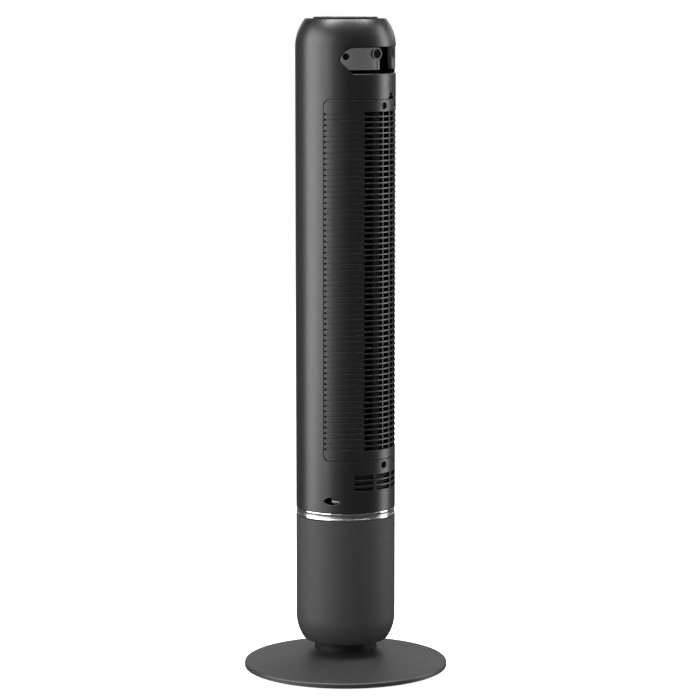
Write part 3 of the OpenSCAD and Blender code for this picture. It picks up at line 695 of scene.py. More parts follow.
def lay_out(bm, thick, place, dent=None):
    """Turns a flat plate into its final mesh, with normals worked out while it was flat."""
    flat = baked(bm)
    co = vectors(flat.vertices, "co")
    outer, inner = co[:, 2] > -1e-3, co[:, 2] < 1e-3 - thick
    v = counts(flat.loops, "vertex_index")
    totals = counts(flat.polygons, "loop_total")
    facing = np.repeat(vectors(flat.polygons, "normal"), totals, axis=0)
    corner = np.zeros_like(facing)
    on_edge = np.abs(facing[:, 2]) < 0.999
    side = np.zeros_like(co)
    np.add.at(side, v[on_edge], facing[on_edge])
    side[outer] = (0, 0, 1)
    side[inner] = (0, 0, -1)
    corner[on_edge] = side[v[on_edge]]
    corner[~on_edge, 2] = np.sign(facing[~on_edge, 2])
    if dent is not None:
        co[:, 2] -= dent(co[:, 0], co[:, 1]) * outer
        flat.vertices.foreach_set("co", co.astype(np.float32).ravel())
        flat.update()
        sunk = np.repeat(vectors(flat.polygons, "normal"), totals, axis=0)
        sloping = ~on_edge & (np.abs(sunk[:, 2]) < 0.995)
        corner[sloping] = sunk[sloping]
    spot, along, up, off = place(co[:, 0], co[:, 1], co[:, 2])
    world = corner[:, :1] * along[v] + corner[:, 1:2] * up[v] + corner[:, 2:] * off[v]
    world /= np.maximum(np.linalg.norm(world, axis=1), 1e-9)[:, None]
    welded, same = np.unique(np.round(spot, 3), axis=0, return_inverse=True)
    used = same.ravel()[v]
    faces, kept = [], []
    first = 0
    for last in np.cumsum(totals):
        ring = [i for i in range(first, last) if used[i] != used[i - 1 if i > first else last - 1]]
        if len({used[i] for i in ring}) == len(ring) > 2:
            faces.append(used[ring].tolist())
            kept += world[ring].tolist()
        first = last
    return mesh_with_normals((welded * MM).tolist(), faces, kept)


def sheet(loops, thick, place, edge, rounds, x_cuts=()):
    """A plate with holes, cut finely enough to bend, and put in its place."""
    bm = cut_sheet(loops, thick, edge, rounds)
    cut_across(bm, 0, x_cuts)
    return lay_out(bm, thick, place)


def arc_x(angle):
    """Flat x of a rear angle on a wrapped sheet."""
    return -radians(angle) * BODY_R


def wrapped_box(middle, half, z0, z1, r, steps=2):
    """A box on a wrapped sheet, by the rear angle of its middle and half its width in degrees."""
    return box_loop(arc_x(middle + half), z0, arc_x(middle - half), z1, r, steps)


def inside_at(radius):
    """Placement for a sheet that is wrapped at another radius but measured at the body's."""
    return round_the_axis(Path([(radius, 0), (radius, 1000)]), 0, BODY_R)


def every(step, start, stop):
    """Even places between two ends, about a step apart."""
    count = max(1, round((stop - start) / step))
    return [start + (stop - start) * i / count for i in range(1, count)]


def bends(middle, half, step):
    """Places to cut a wrapped sheet across, so that it can follow the round."""
    return every(step, arc_x(middle + half), arc_x(middle - half))


def mirrored_mesh(mesh):
    """The mesh mirrored in the plane x = 0, with its own normals kept."""
    normals = [Vector(c.vector) for c in mesh.corner_normals]
    verts = [(-v.co.x, v.co.y, v.co.z) for v in mesh.vertices]
    faces, kept = [], []
    for p in mesh.polygons:
        loops = list(p.loop_indices)[::-1]
        faces.append([mesh.loops[i].vertex_index for i in loops])
        kept += [(-normals[i].x, normals[i].y, normals[i].z) for i in loops]
    return mesh_with_normals(verts, faces, kept)


def joined_with_normals(meshes):
    """One mesh from several, each with its own split normals."""
    verts, faces, kept = [], [], []
    for mesh in meshes:
        start = len(verts)
        verts += [tuple(v.co) for v in mesh.vertices]
        faces += [[start + i for i in p.vertices] for p in mesh.polygons]
        kept += [tuple(c.vector) for c in mesh.corner_normals]
    return mesh_with_normals(verts, faces, kept)


# ---------- base and neck ----------


def build_base():
    """The dished base with its rounded rim, the neck that stands in it, darkened as painted shade under the
    pedestal, and six feet.
    """
    lip = 2.6
    wall = 3
    bore = 34.5
    knee_r, knee_z = 54, CONE_TOP - 2.6
    rim = arc(BASE_R - lip, 7, lip, 0, 78, 7)
    outline = rounded([
        (BASE_R, FOOT_H, 0.5), *[(x, z, 0) for x, z in rim], (knee_r, knee_z, 16),
        (NECK_R + 1.2, CONE_TOP, 0.5), (bore, CONE_TOP, 0), (bore, CONE_TOP - wall, 0),
        (NECK_R, CONE_TOP - wall, 0), (knee_r, knee_z - wall, 0),
        (BASE_R - lip - 1, rim[-1][1] - wall, 0), (BASE_R - wall, 6, 0), (BASE_R - wall, FOOT_H, 0.3),
    ])
    turned_piece("base_cover_shell", outline, "base_plastic", "base_cover", body="base", steps=256)
    spigot_top, spigot_r, spigot_bore, foot_z = 52, 36, 27, 7
    collar = rounded([
        (NECK_R, CONE_TOP, 0.3), (NECK_R, NECK_TOP, 1.2), (37, NECK_TOP, 0), (spigot_r, NECK_TOP, 0),
        (spigot_r, spigot_top, 0.6), (spigot_bore, spigot_top, 0.6), (spigot_bore, foot_z, 0),
        (33, foot_z, 0), (33, CONE_TOP, 0),
    ])
    neck = add_piece("neck_collar", turned(collar), "base_plastic", "neck", body="base", material=NECK_PAINTED_SHADE)
    weighted(neck)
    foot = [(0, 0.5), (3, 0.5), (3.6, 0), (8.1, 0), (8.7, 0.3), (9, 0.9), (9, FOOT_H), (0, FOOT_H)]
    feet = []
    for x, y in arc(0, 0, FOOT_RING, 0, 300, 5):
        spot = Matrix.Translation(Vector((x, y, 0)) * MM)
        feet.append(turned(foot, 40, spot, closed=False))
    weighted(add_piece("rubber_foot_pads", joined(feet), "rubber", "rubber_feet", body="base"))


# ---------- pedestal and ring ----------


def build_pedestal():
    """A straight cup whose lower part curves in on one arc to a flat floor."""
    floor_r = 50.2
    middle = BODY_R - FOOT_ARC
    bottom = degrees(asin((PED_Z0 - FOOT_ARC_Z) / FOOT_ARC))
    outside = arc(middle, FOOT_ARC_Z, FOOT_ARC, bottom, 0, 26)
    inside = arc(middle, FOOT_ARC_Z, FOOT_ARC - WALL, 0, bottom + 2, 16)
    corner = outside[0][0]
    outline = rounded([
        (floor_r, PED_Z0, 0.6), (corner - 2.2, PED_Z0, 0), (corner, PED_Z0 + 0.55, 1.5),
        *[(x, z, 0) for x, z in outside[2:]], (BODY_R, PED_Z1, 1.1), (BODY_R - WALL, PED_Z1, 0.3),
        *[(x, z, 0) for x, z in inside], (floor_r, PED_Z0 + WALL, 0.3),
    ])
    turned_piece("pedestal_case", outline, "pedestal_plastic", "pedestal_shell", steps=224)


def build_trim_ring():
    """Two polished lips with a darker hollow band between them."""
    band, lip = RING_R - 1.0, 3.7
    inner = BODY_R - 5
    for name, z, way in (("trim_lip_lower", RING_Z0, 1), ("trim_lip_upper", RING_Z1, -1)):
        outline = rounded([
            (inner, z, 0), (RING_R - 1.2, z, 0.3), (RING_R - 0.4, z + way * 0.5, 0.6),
            (RING_R, z + way * lip / 2, 4), (RING_R - 0.4, z + way * (lip - 0.5), 0.6),
            (band - 0.3, z + way * lip, 0.2), (inner, z + way * lip, 0),
        ], 5)
        replaced = ["trim_ring"] if way > 0 else []
        turned_piece(name, outline, "chrome_trim", *replaced, steps=256)
    half = (RING_Z1 - RING_Z0) / 2 - lip
    upper = [(band - 0.25, half - 1.2), (band, half + 0.1), (inner + 0.1, half + 0.1)]
    middle = (RING_Z0 + RING_Z1) / 2
    hollow = [(r, middle - z) for r, z in reversed(upper)] + [(r, middle + z) for r, z in upper]
    weighted(add_piece("trim_hollow", turned(hollow, 256), "chrome_trim", material=BAND_DARK))


# ---------- housing ----------


def housing_profile():
    """The housing's outer line, from its lower edge over the shoulder to the control disc."""
    rise = asin((RIM_Z - SHOULDER_Z) / SHOULDER_R)
    middle = BODY_R - SHOULDER_R
    shoulder = arc(middle, SHOULDER_Z, SHOULDER_R, 0, degrees(rise) - 1, 32)
    corner = (middle + SHOULDER_R * cos(rise), RIM_Z, 1.6)
    top = rounded([(*shoulder[-1], 0), corner, (DISC_R + 0.5, RIM_Z, 0)], 10)
    return Path([(BODY_R, HOUSE_Z0)] + shoulder[:-1] + top)


HOUSING = housing_profile()
WRAP = round_the_axis(HOUSING, HOUSE_Z0, BODY_R)


def handle_outline():
    """Outline of the handle opening on the flat housing sheet."""
    end = arc_x(HANDLE_END)
    arch = arc(ARCH_X, HANDLE_Z1 - ARCH_R, ARCH_R, 90, 164, 10)
    corners = [(x, y, 0) for x, y in arch] + [(-10.8, HANDLE_Z0 + 17.4, 1.5), (8.2, HANDLE_Z0, 5)]
    left = rounded(corners + [(16, HANDLE_Z0, 0)], 5)
    return [(end + x, y) for x, y in left] + [(-end - x, y) for x, y in reversed(left)]


def panel_outline(opening=False):
    """Outline of the inlet panel on the flat sheet, or of the opening it fits in."""
    grow = 0.75 if opening else 0
    half = arc_x(-PANEL_SIDE) - 0.55 + grow
    z0, z1 = PANEL_Z0 - grow, PANEL_Z1 + grow
    notch = []
    if opening:
        notch = [(7, z1, 0.6), (7, z1 + 3.2, 0.6), (3.4, z1 + 3.2, 0.6), (3.4, z1 + 8.6, 0.8)]
    other = [(-x, y, r) for x, y, r in reversed(notch)]
    return rounded([(-half, z0, 9), (half, z0, 9), (half, z1, 9)] + notch + other + [(-half, z1, 9)], 6)


def cooling_loops():
    """Three rows of four cooling slots."""
    return [wrapped_box(a, 12, z0, z1, 0.8) for z0, z1 in VENT_ROWS for a in VENT_COLUMNS]


def cord_loop():
    """The lens-shaped cord opening, cut along X, on the flat housing sheet."""
    tip = degrees(acos(CORD_ARC_OFF / CORD_ARC_R))
    upper = arc(-CORD_ARC_OFF, 0, CORD_ARC_R, -tip, tip, 14)
    lower = arc(CORD_ARC_OFF, 0, CORD_ARC_R, 180 - tip, 180 + tip, 14)
    points = upper[:-1] + lower[:-1]
    return [(arc_x(degrees(acos((CORD_Y + y) / BODY_R))), CORD_Z + z) for z, y in points]


def window_loop():
    return wrapped_box(FRONT, 25.4, GRILLE_Z0 - 0.4, GRILLE_Z1 + 0.4, 4, 5)


def screw_holes(z):
    return [round_loop(arc_x(s * SCREW_ANGLE), z, SCREW_HOLE_R) for s in (-1, 1)]


def build_screw_posts(name, slot, z, radius, front, seat, back):
    """Two near-black cups behind screw holes, painted shade inside the holes; the depths are counted from a
    radius outwards.
    """
    cup = [(4.95, front), (6.2, front), (6.2, back), (1.7, back), (1.7, seat), (4.8, seat)]
    posts = [turned(cup, 40, outward(s * SCREW_ANGLE, radius, z)) for s in (-1, 1)]
    weighted(add_piece(name, joined(posts), slot, material=PAINTED_SHADE_BLACK))


def build_housing():
    """The housing's skin, cut as one flat sheet from the seam right round to the seam."""
    seam = arc_x(SEAM_ANGLE)
    around = 2 * pi * BODY_R
    spare = 6
    x0, x1 = seam - spare, seam + around + spare
    top = HOUSE_Z0 + HOUSING.length[-1]
    outline = [(x0, HOUSE_Z0), (x1, HOUSE_Z0), (x1, top), (x0, top)]
    screws = screw_holes(LOW_SCREW_Z)
    loops = [outline, panel_outline(True), handle_outline(), window_loop(), cord_loop()]
    bm = cut_sheet(loops + cooling_loops() + screws, WALL, EDGE, 2)
    soften(bm, handle_outline(), EDGE, 3.4)
    for loop in [cord_loop()] + screws:
        soften(bm, loop, EDGE, 2)
    cut_across(bm, 0, [seam], trim=-1)
    cut_across(bm, 0, [seam + around], trim=1)
    cut_across(bm, 0, every(around / 180, seam, seam + around))
    cut_across(bm, 1, [SHOULDER_Z])
    cut_across(bm, 1, every(2.5, SHOULDER_Z, top - 0.6), lambda f: f.calc_center_median().y > SHOULDER_Z)
    add_piece("housing_shell", lay_out(bm, WALL, WRAP), "housing_plastic", "housing")
    build_ledge()
    build_screw_posts("housing_posts", "housing_plastic", LOW_SCREW_Z, BODY_R - WALL - 0.6, 0.4, -5, -9)
    build_vent_baffle()


def build_ledge():
    """The ledge behind the inlet panel and its latch notch."""
    hole = wrapped_box(0, 88.7, PANEL_Z0 + 5, PANEL_Z1 - 5, 4, 4)
    notch = box_loop(-8, PANEL_Z1 - 1, 8, PANEL_Z1 + 9.5, 1)
    outline = wrapped_box(0, LEDGE_SIDE, PANEL_Z0 - 6, PANEL_Z1 + 12, 6, 4)
    turns = bends(0, LEDGE_SIDE, 5)
    ledge = sheet([outline, hole, notch], 2.4, inside_at(BODY_R - WALL - 0.05), 0.3, 0, turns)
    add_piece("housing_ledge", ledge, "housing_plastic")


def build_vent_baffle():
    """A dark sheet behind the cooling slots, with level bars and upright webs before it."""
    turns = bends(0, LEDGE_SIDE, 5)
    back = wrapped_box(0, 57, VENT_Z0, VENT_Z1, 2, 3)
    bars = [wrapped_box(a, 12.5, z - 0.45, z + 0.45, 0.3, 1) for z in (278, 286.4, 295.1) for a in (-14, 14)]
    webs = [
        box_loop(arc_x(a) - 0.8, VENT_Z0, arc_x(a) + 0.8, VENT_Z1, 0.4) for a in (-56, -28, 0, 28, 56)
    ]
    baffle = [
        sheet([back], 1.2, inside_at(66.5), 0.3, 0, turns),
        sheet(bars, 3.4, inside_at(69.9), 0.2, 0, turns),
        sheet(webs, 4, inside_at(70.3), 0.3, 0),
    ]
    add_piece("vent_baffle", joined_with_normals(baffle), "inner_plastic")


def build_rear_panel():
    """The ribbed inlet panel: slots in the middle, shallow grooves and small pits beside them."""
    slot = RIB_PITCH - RIB_H
    side, edge_x = arc_x(-SLOT_HALF), arc_x(-PANEL_SIDE)
    pit_x = edge_x - 2.7
    groove_x0, groove_x1 = side + 3, pit_x - 2.4
    groove_half, groove_floor, groove_depth = 0.75, 0.4, 0.45
    rows = [FIELD_Z + (i - RIB_N / 2) * RIB_PITCH for i in range(RIB_N + 1)]
    loops = [panel_outline()]
    loops += [box_loop(-side, z - slot / 2, side, z + slot / 2, 0.9) for z in rows]
    loops += [box_loop(x - 1.4, z - 1.7, x + 1.4, z + 1.7, 1, 1) for z in rows for x in (-pit_x, pit_x)]
    screws = screw_holes(HIGH_SCREW_Z)
    bm = cut_sheet(loops + screws, PANEL_T, PANEL_EDGE, 1)
    for loop in screws:
        soften(bm, loop, PANEL_EDGE, 2.2)

    def beside_slots(f):
        spot = f.calc_center_median()
        return groove_x0 < abs(spot.x) < groove_x1 and spot.z > -0.1

    def dent(x, y):
        off = np.abs((y - rows[0] + RIB_PITCH / 2) % RIB_PITCH - RIB_PITCH / 2)
        within = (y > rows[0] - 2) & (y < rows[-1] + 2)
        within &= (np.abs(x) > groove_x0 - 0.1) & (np.abs(x) < groove_x1 + 0.1)
        return groove_depth * within * np.clip((groove_half - off) / (groove_half - groove_floor), 0, 1)

    cut_across(bm, 0, [-groove_x0, groove_x0, -groove_x1, groove_x1])
    lines = [z + d * w for z in rows for w in (groove_half, groove_floor) for d in (-1, 1)]
    cut_across(bm, 1, lines, beside_slots)
    cut_across(bm, 0, every(3.2, -edge_x, edge_x))
    mesh = lay_out(bm, PANEL_T, inside_at(BODY_R), dent)
    add_piece("inlet_panel", mesh, "panel_plastic", "rear_panel")
    build_panel_back(rows, side)
    build_panel_bars()
    build_louvres()
    build_screw_posts("inlet_panel_posts", "panel_plastic", HIGH_SCREW_Z, BODY_R - PANEL_T, 0.7, -2, -3)


def build_panel_back(rows, side):
    """Thin blades that make the ribs deeper, and three spines across them."""
    inner = BODY_R - PANEL_T
    blades = [box_loop(-side - 1, z - 0.55, side + 1, z + 0.55, 0.3, 1)
              for z in [row + RIB_PITCH / 2 for row in rows[:-1]]]
    backs = [sheet(blades, 2.8, inside_at(inner + 0.3), 0.2, 0, every(3.2, -side, side))]
    for angle, half in ((-SCREW_ANGLE, 0.7), (0, 1.8), (SCREW_ANGLE, 0.7)):
        spine = wrapped_box(angle, half, FIELD_Z - FIELD_HALF, FIELD_Z + FIELD_HALF, 0.4, 1)
        turns = bends(angle, half, 1.6)
        backs.append(sheet([spine], 3.0, inside_at(inner + 0.35), 0.3, 0, turns))
    add_piece("inlet_panel_back", joined_with_normals(backs), "panel_plastic")


def build_panel_bars():
    """Two near-black upright bars behind the ribs, and the tab in the latch notch, both painted shade seen
    through the openings.
    """
    bars = [wrapped_box(a, 5, FIELD_Z - FIELD_HALF, FIELD_Z + FIELD_HALF, 0.6) for a in (-26, 26)]
    tab = box_loop(-2.8, PANEL_Z1 - 5, 2.8, PANEL_Z1 + 5, 0.6)
    strips = [
        sheet(bars, 2.4, inside_at(BODY_R - 1), 0.3, 0, bends(0, 31, 1.6)),
        sheet([tab], 2, inside_at(BODY_R - PANEL_T + 0.2), 0.3, 0, every(1.6, -2.8, 2.8)),
    ]
    add_piece("inlet_panel_bars", joined_with_normals(strips), "inner_plastic", material=PAINTED_SHADE_BLACK)


def build_louvres():
    """Eight near-black slanted blades that stop a view straight through the inlet and paint the shade inside
    it.
    """
    louvres = []
    for angle in range(-21, 22, 6):
        line = Path([plan_spot(67.2, angle + 4), plan_spot(61.5, angle - 4)])
        blade = box_loop(0, FIELD_Z - FIELD_HALF, line.length[-1], FIELD_Z + FIELD_HALF, 0.5)
        louvres.append(sheet([blade], 1.4, along_the_plan(line), 0.3, 0))
    add_piece("inlet_louvres", joined_with_normals(louvres), "inner_plastic", material=PAINTED_SHADE_BLACK)


def build_front_grille():
    """The outlet grille: close level bars with two upright ones behind them."""
    pitch, bar = 7.75, 2.2
    gap = (pitch - bar) / 2
    rows = [FIELD_Z + (i - 30.5) * pitch for i in range(62)]
    loops = [wrapped_box(FRONT, 24.9, GRILLE_Z0 + 0.1, GRILLE_Z1 - 0.1, 3.6, 5)]
    loops += [wrapped_box(FRONT, 23.6, z - gap, z + gap, 0.8) for z in rows]
    turns = bends(FRONT, 25, 3.2)
    bars = sheet(loops, 2.6, inside_at(BODY_R - 0.6), 0.5, 1, turns)
    uprights = [
        sheet([wrapped_box(FRONT + a, 0.6, GRILLE_Z0 + 1, GRILLE_Z1 - 1, 0.4, 1)], 2.4,
              inside_at(BODY_R - 2.9), 0.3, 0)
        for a in (9, -9)
    ]
    add_piece("outlet_grille", bars, "grille_plastic", "front_grille")
    add_piece("outlet_grille_uprights", joined_with_normals(uprights), "grille_plastic")


# ---------- handle ----------


def handle_plan_line():
    """Plan of one half of the handle plate, from its outer end round the rolled edge."""
    cx, cy = plan_spot(HANDLE_R - ROLL_R, ROLL_ANGLE)
    stop = degrees(asin((FINGER_HALF + 3.2 - cx) / ROLL_R))
    lip_r = 3.4
    lip_x, lip_y = plan_spot(ROLL_R - lip_r, stop, cx, cy)
    outer = plan_arc(HANDLE_R, PLATE_END, ROLL_ANGLE, 22)
    roll = plan_arc(ROLL_R, ROLL_ANGLE, stop, 14, cx, cy)
    lip = plan_arc(lip_r, stop, -90, 12, lip_x, lip_y)
    return outer + roll[1:] + lip[1:] + [(lip[-1][0], lip[-1][1] - 3.5)]


def build_handle():
    """Two mirrored plates with rolled inner edges, and screw bosses with near-black plugs that paint the
    shade inside their holes.
    """
    plan = Path(handle_plan_line())
    total = plan.length[-1]
    z0, z1 = HANDLE_Z0 + 5.6, HANDLE_Z1 - 0.5
    tip_x = radians(PLATE_END - HANDLE_END) * HANDLE_R
    arch = arc(ARCH_X, HANDLE_Z1 - ARCH_R, ARCH_R - 0.5, 164, 90, 10)
    outline = [(tip_x + x, y, 0) for x, y in arch] + [(total, z1, 0.6), (total, z0, 0.6)]
    outline += [(tip_x + 2.6, z0, 2), (tip_x - 10.2, HANDLE_Z0 + 17.6, 0.8)]
    inner, outer = BOSSES
    inner_x = radians(PLATE_END - ROLL_ANGLE) * HANDLE_R + radians(ROLL_ANGLE - ROLL_END) * ROLL_R
    outer_x = radians(PLATE_END - outer[0]) * HANDLE_R
    holes = [round_loop(inner_x, inner[1], 7.4, 36), round_loop(outer_x, outer[1], 4.9, 36)]
    loops = [rounded(outline, 4)] + holes
    plate = sheet(loops, 2.2, along_the_plan(plan), EDGE, 2, every(1.6, 0, total))
    bosses, plugs = [], []
    for angle, z, r, depth, hole in BOSSES:
        boss = [(hole, 0, 0.6), (r, 0, 0.8), (r, -depth, 0), (r - 1, -depth, 0), (hole, -1, 0)]
        plug = [(0, -0.9), (hole + 0.1, -0.9), (hole + 0.1, -3), (0, -3)]
        for s in (-1, 1):
            spot = outward(s * angle, HANDLE_R - 9 + depth, z)
            bosses.append(turned(rounded(boss, 5), 48, spot))
            plugs.append(turned(plug, 48, spot, closed=False))
    plates = joined_with_normals([plate, mirrored_mesh(plate)])
    add_piece("handle_insert", plates, "handle_plastic", "handle_plate")
    weighted(add_piece("handle_bosses", joined(bosses), "handle_plastic"))
    weighted(add_piece("handle_plugs", joined(plugs), "handle_plastic", material=PAINTED_SHADE_BLACK))


def pocket_box():
    """The finger recess: walls with rounded inner corners, open to the rear, between two lids."""
    wall, half = 2.2, FINGER_HALF + 5
    wide = half + wall
    y0, y1 = 34, 62
    plan = rounded([
        (-wide, y1, 0), (-wide, y0, 9), (wide, y0, 9), (wide, y1, 0),
        (half, y1, 0), (half, y0 + wall, 7), (-half, y0 + wall, 7), (-half, y1, 0),
    ], 6)
    bm = bmesh.new()
    ring = bm.faces.new([bm.verts.new((x * MM, y * MM, HANDLE_Z0 * MM)) for x, y in plan])
    lifted = bmesh.ops.extrude_face_region(bm, geom=[ring])["geom"]
    up = [v for v in lifted if isinstance(v, bmesh.types.BMVert)]
    bmesh.ops.translate(bm, verts=up, vec=(0, 0, (HANDLE_Z1 - HANDLE_Z0) * MM))
    bmesh.ops.recalc_face_normals(bm, faces=bm.faces)
    parts = [baked(bm)]
    for z in (HANDLE_Z0 - 1, HANDLE_Z1 + 1):
        lid = bmesh.new()
        bmesh.ops.create_cube(lid, size=1)
        bmesh.ops.scale(lid, verts=lid.verts, vec=(2 * wide * MM, (y1 - y0) * MM, 2 * MM))
        bmesh.ops.translate(lid, verts=lid.verts, vec=(0, (y0 + y1) / 2 * MM, z * MM))
        bmesh.ops.bevel(lid, geom=lid.edges, offset=0.4 * MM, segments=2, affect="EDGES")
        parts.append(baked(lid))
    return smoothed(joined(parts), 35)


def handle_straps():
    """Two bent straps that hold the handle's screws, and a web under each inner boss."""
    strap_r, strap_end = HANDLE_R - 9.2, 20
    z0, z1 = 897, 911
    out = []
    for s, first, last in ((-1, -strap_end, -PLATE_END), (1, PLATE_END, strap_end)):
        plan = Path(plan_arc(strap_r, first, last, 40))
        length = plan.length[-1]
        strip = box_loop(0.2, z0, length - 0.2, z1, 1.5, 3)
        holes = [round_loop(radians(first - s * boss[0]) * strap_r, boss[1], 1.75, 20) for boss in BOSSES]
        out.append(sheet([strip] + holes, 2.3, along_the_plan(plan), 0.3, 1, every(3, 0, length)))
    web = box_loop(64, HANDLE_Z0 + 0.4, HANDLE_R - 1.1, z0 + 1, 0.8)
    for s in (-1, 1):
        a = radians(s * BOSSES[0][0])
        plate = lay_out(cut_sheet([web], 1.8, 0.3, 0), 1.8, flat_on_top(0.9))
        spoke, across = Vector((sin(a), cos(a), 0)), Vector((cos(a), -sin(a), 0))
        plate.transform(Matrix((spoke, Vector((0, 0, 1)), -across)).transposed().to_4x4())
        out.append(plate)
    return joined_with_normals(out)


def build_handle_pocket():
    # The recess and the straps in it take the near-black pocket material, painted shade inside the handle
    # opening.
    weighted(add_piece("handle_recess", pocket_box(), "pocket_plastic", "handle_pocket"))
    add_piece("handle_recess_straps", handle_straps(), "pocket_plastic")


# ---------- top panel ----------


def build_controls():
    """The gloss disc with its near-black skirt, painted shade on the disc's edge, the display pane and the
    four buttons.
    """
    holes = [round_loop(x, y, BUTTON_R + 0.35, 40) for x, y in map(button_place, BUTTONS.values())]
    window = box_loop(-19.2, 2.8, 19.2, 17.2, 1.2, 4)
    rim = round_loop(0, 0, DISC_R, 180)
    disc = sheet([rim, window] + holes, 0.8, flat_on_top(DISC_TOP), 0.3, 2)
    skirt = rounded([
        (DISC_R - 0.05, DISC_TOP - 0.7, 0), (DISC_R - 0.05, DISC_TOP - 9, 0.4),
        (DISC_R - 2, DISC_TOP - 9, 0.4), (DISC_R - 2, DISC_TOP - 0.7, 0),
    ])
    add_piece("control_disc", disc, "control_gloss", "control_panel")
    weighted(add_piece("control_disc_skirt", turned(skirt), "control_gloss", material=PAINTED_SHADE_BLACK))
    pane = sheet([box_loop(-19, 3, 19, 17, 1, 4)], 2.2, flat_on_top(DISC_TOP - 0.15), 0.25, 2)
    add_piece("display_pane", pane, "display_gloss", "display_window")
    for name, angle in BUTTONS.items():
        build_button(name, angle)


def button_place(angle):
    """Middle of a button, by its angle from the front."""
    return plan_spot(BUTTON_RING, 180 - angle)


def stroke(points, width, z, closed=False):
    """A thin raised line of a sign, nearly flat."""
    mesh = tube([(x, y, 0) for x, y in points], width / 2, closed)
    flatten = Matrix.Translation((0, 0, z)) @ Matrix.Diagonal((1, 1, 0.12, 1))
    mesh.transform(Matrix.Scale(MM, 4) @ flatten)
    return mesh


def sign_strokes(name, z):
    """Plain signs: an on-off mark, three waves, a two-way arrow and a clock face."""
    w = 0.42
    if name == "power":
        return [stroke(arc(0, 0, 2.3, 125, 415, 20), w, z), stroke([(0, 0.4), (0, 3.1)], w, z)]
    if name == "speed":
        waves = [[(x * 0.25 - 2.4, y + 0.5 * sin(x * 0.66)) for x in range(20)] for y in (-1.5, 0, 1.5)]
        return [stroke(line, w, z) for line in waves]
    if name == "swing":
        bow = arc(0, -3.2, 4.4, 58, 122, 12)
        tips = [[(1.3, 1.4), bow[0], (1.6, -0.6)], [(-1.3, 1.4), bow[-1], (-1.6, -0.6)]]
        return [stroke(line, w, z) for line in [bow] + tips] + [stroke([(0, -2.6), (0, -0.4)], w, z)]
    return [stroke(round_loop(0, 0, 2.5, 28), w, z, True), stroke([(0, 1.6), (0, 0), (1.2, -0.7)], w, z)]


def build_button(name, angle):
    """A dished cap with a flange below it, and its sign."""
    top = TOTAL_H - 0.12
    bottom = low(name + "_button").z
    flange_r, flange_z0, flange_z1 = BUTTON_R + 1.2, TOTAL_H - 4.4, TOTAL_H - 3
    spot = Matrix.Translation(Vector((*button_place(angle), 0)) * MM)
    cap = [(0, top - 0.35), (2.2, top - 0.32), (3.6, top - 0.2), (4.6, top - 0.04), (5.0, top)]
    cap += [(5.3, top - 0.06), (5.52, top - 0.25), (BUTTON_R, top - 0.5), (BUTTON_R, flange_z1)]
    cap += [(flange_r, flange_z1), (flange_r, flange_z0), (2, flange_z0), (2, bottom), (0, bottom)]
    mesh = turned(cap, 56, spot, closed=False)
    key = name + "_key"
    weighted(add_piece(name + "_cap", mesh, "button_plastic", name + "_button", body=key))
    sign = joined(sign_strokes(name, top - 0.28))
    sign.transform(spot)
    add_piece(name + "_sign", sign, "button_plastic", body=key, material=ICON_INK)


# ---------- cord gland ----------


def build_gland():
    """The gland's round nose on its flange, and the short elbow that shows in the cord opening."""
    along_x = Matrix.Translation(Vector((low("cord_gland").x, CORD_Y, CORD_Z)) * MM)
    along_x @= Matrix.Rotation(pi / 2, 4, "Y")
    nose = [
        (3.3, 0, 0), (6.4, 0, 0), (6.4, 12, 0.6), (4.7, 12, 0.3),
        (4.3, 13, 0), (4.3, 16, 0.9), (3.3, 16, 0.4),
    ]
    bush = turned(rounded(nose, 3), 56, along_x)
    flange = cut_sheet([box_loop(-9, -10, 9, 10, 2.5, 4), round_loop(0, 0, 6.2, 40)], 3, EDGE, 1)
    plate = lay_out(flange, 3, flat_on_top(3))
    plate.transform(along_x)
    bend = [
        (61, -3.2, 0), (65.5, -2, 0), (68.2, 0.5, 0), (68.4, 4, -0.1), (67.6, 7, -0.2), (66.8, 9.6, -0.3),
    ]
    elbow = tube([(x, CORD_Y + y, CORD_Z + z) for x, y, z in bend], 1.5)
    elbow.transform(Matrix.Scale(MM, 4))
    add_piece("cord_bush_elbow", elbow, "gland_plastic")
    weighted(add_piece("cord_bush", bush, "gland_plastic", "cord_gland"))
    add_piece("cord_bush_flange", plate, "gland_plastic")


# ---------- stage, lights and camera ----------


def build_stage():
    """A pale round floor that runs out of sight."""
    mat, tree, shader, place = start_material("studio_floor")
    cloud = spread(tree, noise(tree, place, 0.8, 2), 0, 1)
    wired(mat, blend(tree, cloud, grey(0.8), grey(0.82)))
    shader.inputs["Roughness"].default_value = 0.9
    shader.inputs["Specular IOR Level"].default_value = 0.1
    shader.inputs["Emission Color"].default_value = (1, 1, 1, 1)
    shader.inputs["Emission Strength"].default_value = 0.9
    bm = bmesh.new()
    bmesh.ops.create_circle(bm, cap_ends=True, segments=96, radius=120)
    mesh = baked(bm)
    mesh.materials.append(mat)
    floor = new_object("floor", mesh)
    floor.visible_glossy = False


def build_world():
    """White behind the object; a dimmer surround lights it and shows in its gloss."""
    world = bpy.data.worlds.new("studio")
    scene.world = world
    world.use_nodes = True
    tree = world.node_tree
    back = tree.nodes["Background"]
    ray = node_of(tree, "ShaderNodeLightPath").outputs["Is Camera Ray"]
    back.inputs["Color"].default_value = (1, 1, 1, 1)
    level = node_of(tree, "ShaderNodeMapRange", {"Value": ray, "To Min": 0.13, "To Max": 1.0})
    tree.links.new(level.outputs["Result"], back.inputs["Strength"])


CAMERA_ANGLE = 116
CAMERA_DISTANCE = 4.15
CAMERA_HEIGHT = 1.02
CAMERA_TILT = 7.5
CAMERA_YAW = 0.09
CAMERA_LENS = 146.7


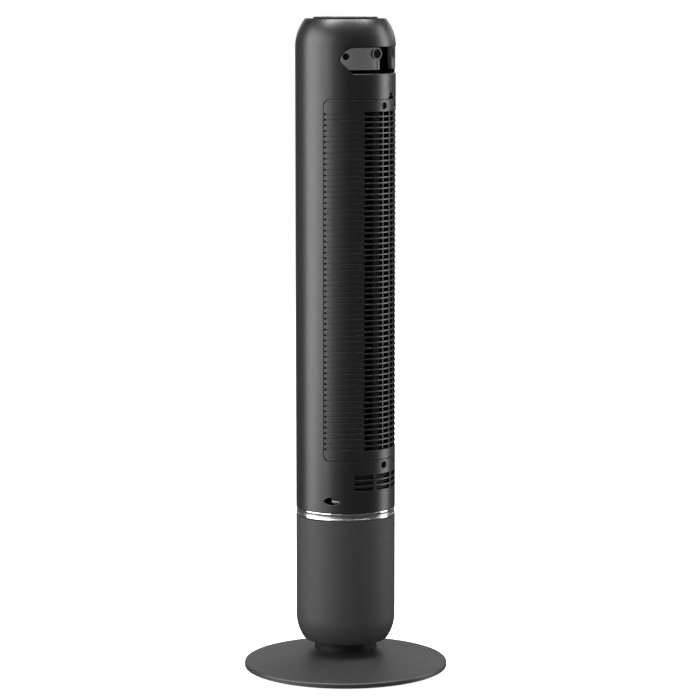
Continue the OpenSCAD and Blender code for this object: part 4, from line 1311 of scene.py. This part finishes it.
def view_direction(angle):
    """Level unit vector from the axis to a camera at that azimuth."""
    a = radians(angle)
    return Vector((sin(a), -cos(a), 0))


def build_camera():
    data = bpy.data.cameras.new("camera")
    data.lens = CAMERA_LENS
    data.sensor_width = 36
    data.clip_end = 500
    camera = new_object("camera", data)
    camera.location = view_direction(CAMERA_ANGLE) * CAMERA_DISTANCE + Vector((0, 0, CAMERA_HEIGHT))
    camera.rotation_euler = (radians(90 - CAMERA_TILT), 0, radians(CAMERA_ANGLE - CAMERA_YAW))
    scene.camera = camera


def softbox(name, angle, distance, height, width, tall, power, aim=0.5):
    """An area light at an azimuth round the object, aimed at a height on its axis."""
    data = bpy.data.lights.new(name, "AREA")
    data.shape = "RECTANGLE"
    data.size = width
    data.size_y = tall
    data.energy = power
    lamp = new_object(name, data)
    lamp.location = view_direction(angle) * distance + Vector((0, 0, height))
    to_object = Vector((0, 0, aim)) - lamp.location
    lamp.rotation_euler = to_object.to_track_quat("-Z", "Y").to_euler()
    lamp.visible_camera = False
    return lamp


def build_lights():
    softbox("left_softbox", CAMERA_ANGLE - 81, 2.2, 0.9, 1.55, 2.6, 85)
    softbox("left_fill", CAMERA_ANGLE - 48, 2.4, 0.9, 1.1, 2.6, 36)
    softbox("front_fill", CAMERA_ANGLE - 24, 2.6, 0.9, 1.4, 2.6, 6)
    softbox("right_softbox", CAMERA_ANGLE + 101, 2.2, 0.9, 0.85, 2.6, 46)
    softbox("top_softbox", CAMERA_ANGLE + 12, 0.15, 3.1, 3.2, 0.9, 210, 0.9)
    softbox("back_softbox", CAMERA_ANGLE + 168, 5, 1.85, 8, 1.2, 38, 0.1)
    bounce = softbox("floor_bounce", CAMERA_ANGLE, 1.7, 0.02, 3, 3, 11)
    bounce.rotation_euler = (pi, 0, 0)
    bounce.visible_glossy = False


# ---------- the whole scene ----------

build_camera()
build_world()
build_lights()
build_stage()
finish_cad_nodes()
build_base()
build_pedestal()
build_trim_ring()
build_housing()
build_rear_panel()
build_front_grille()
build_handle()
build_handle_pocket()
build_controls()
build_gland()
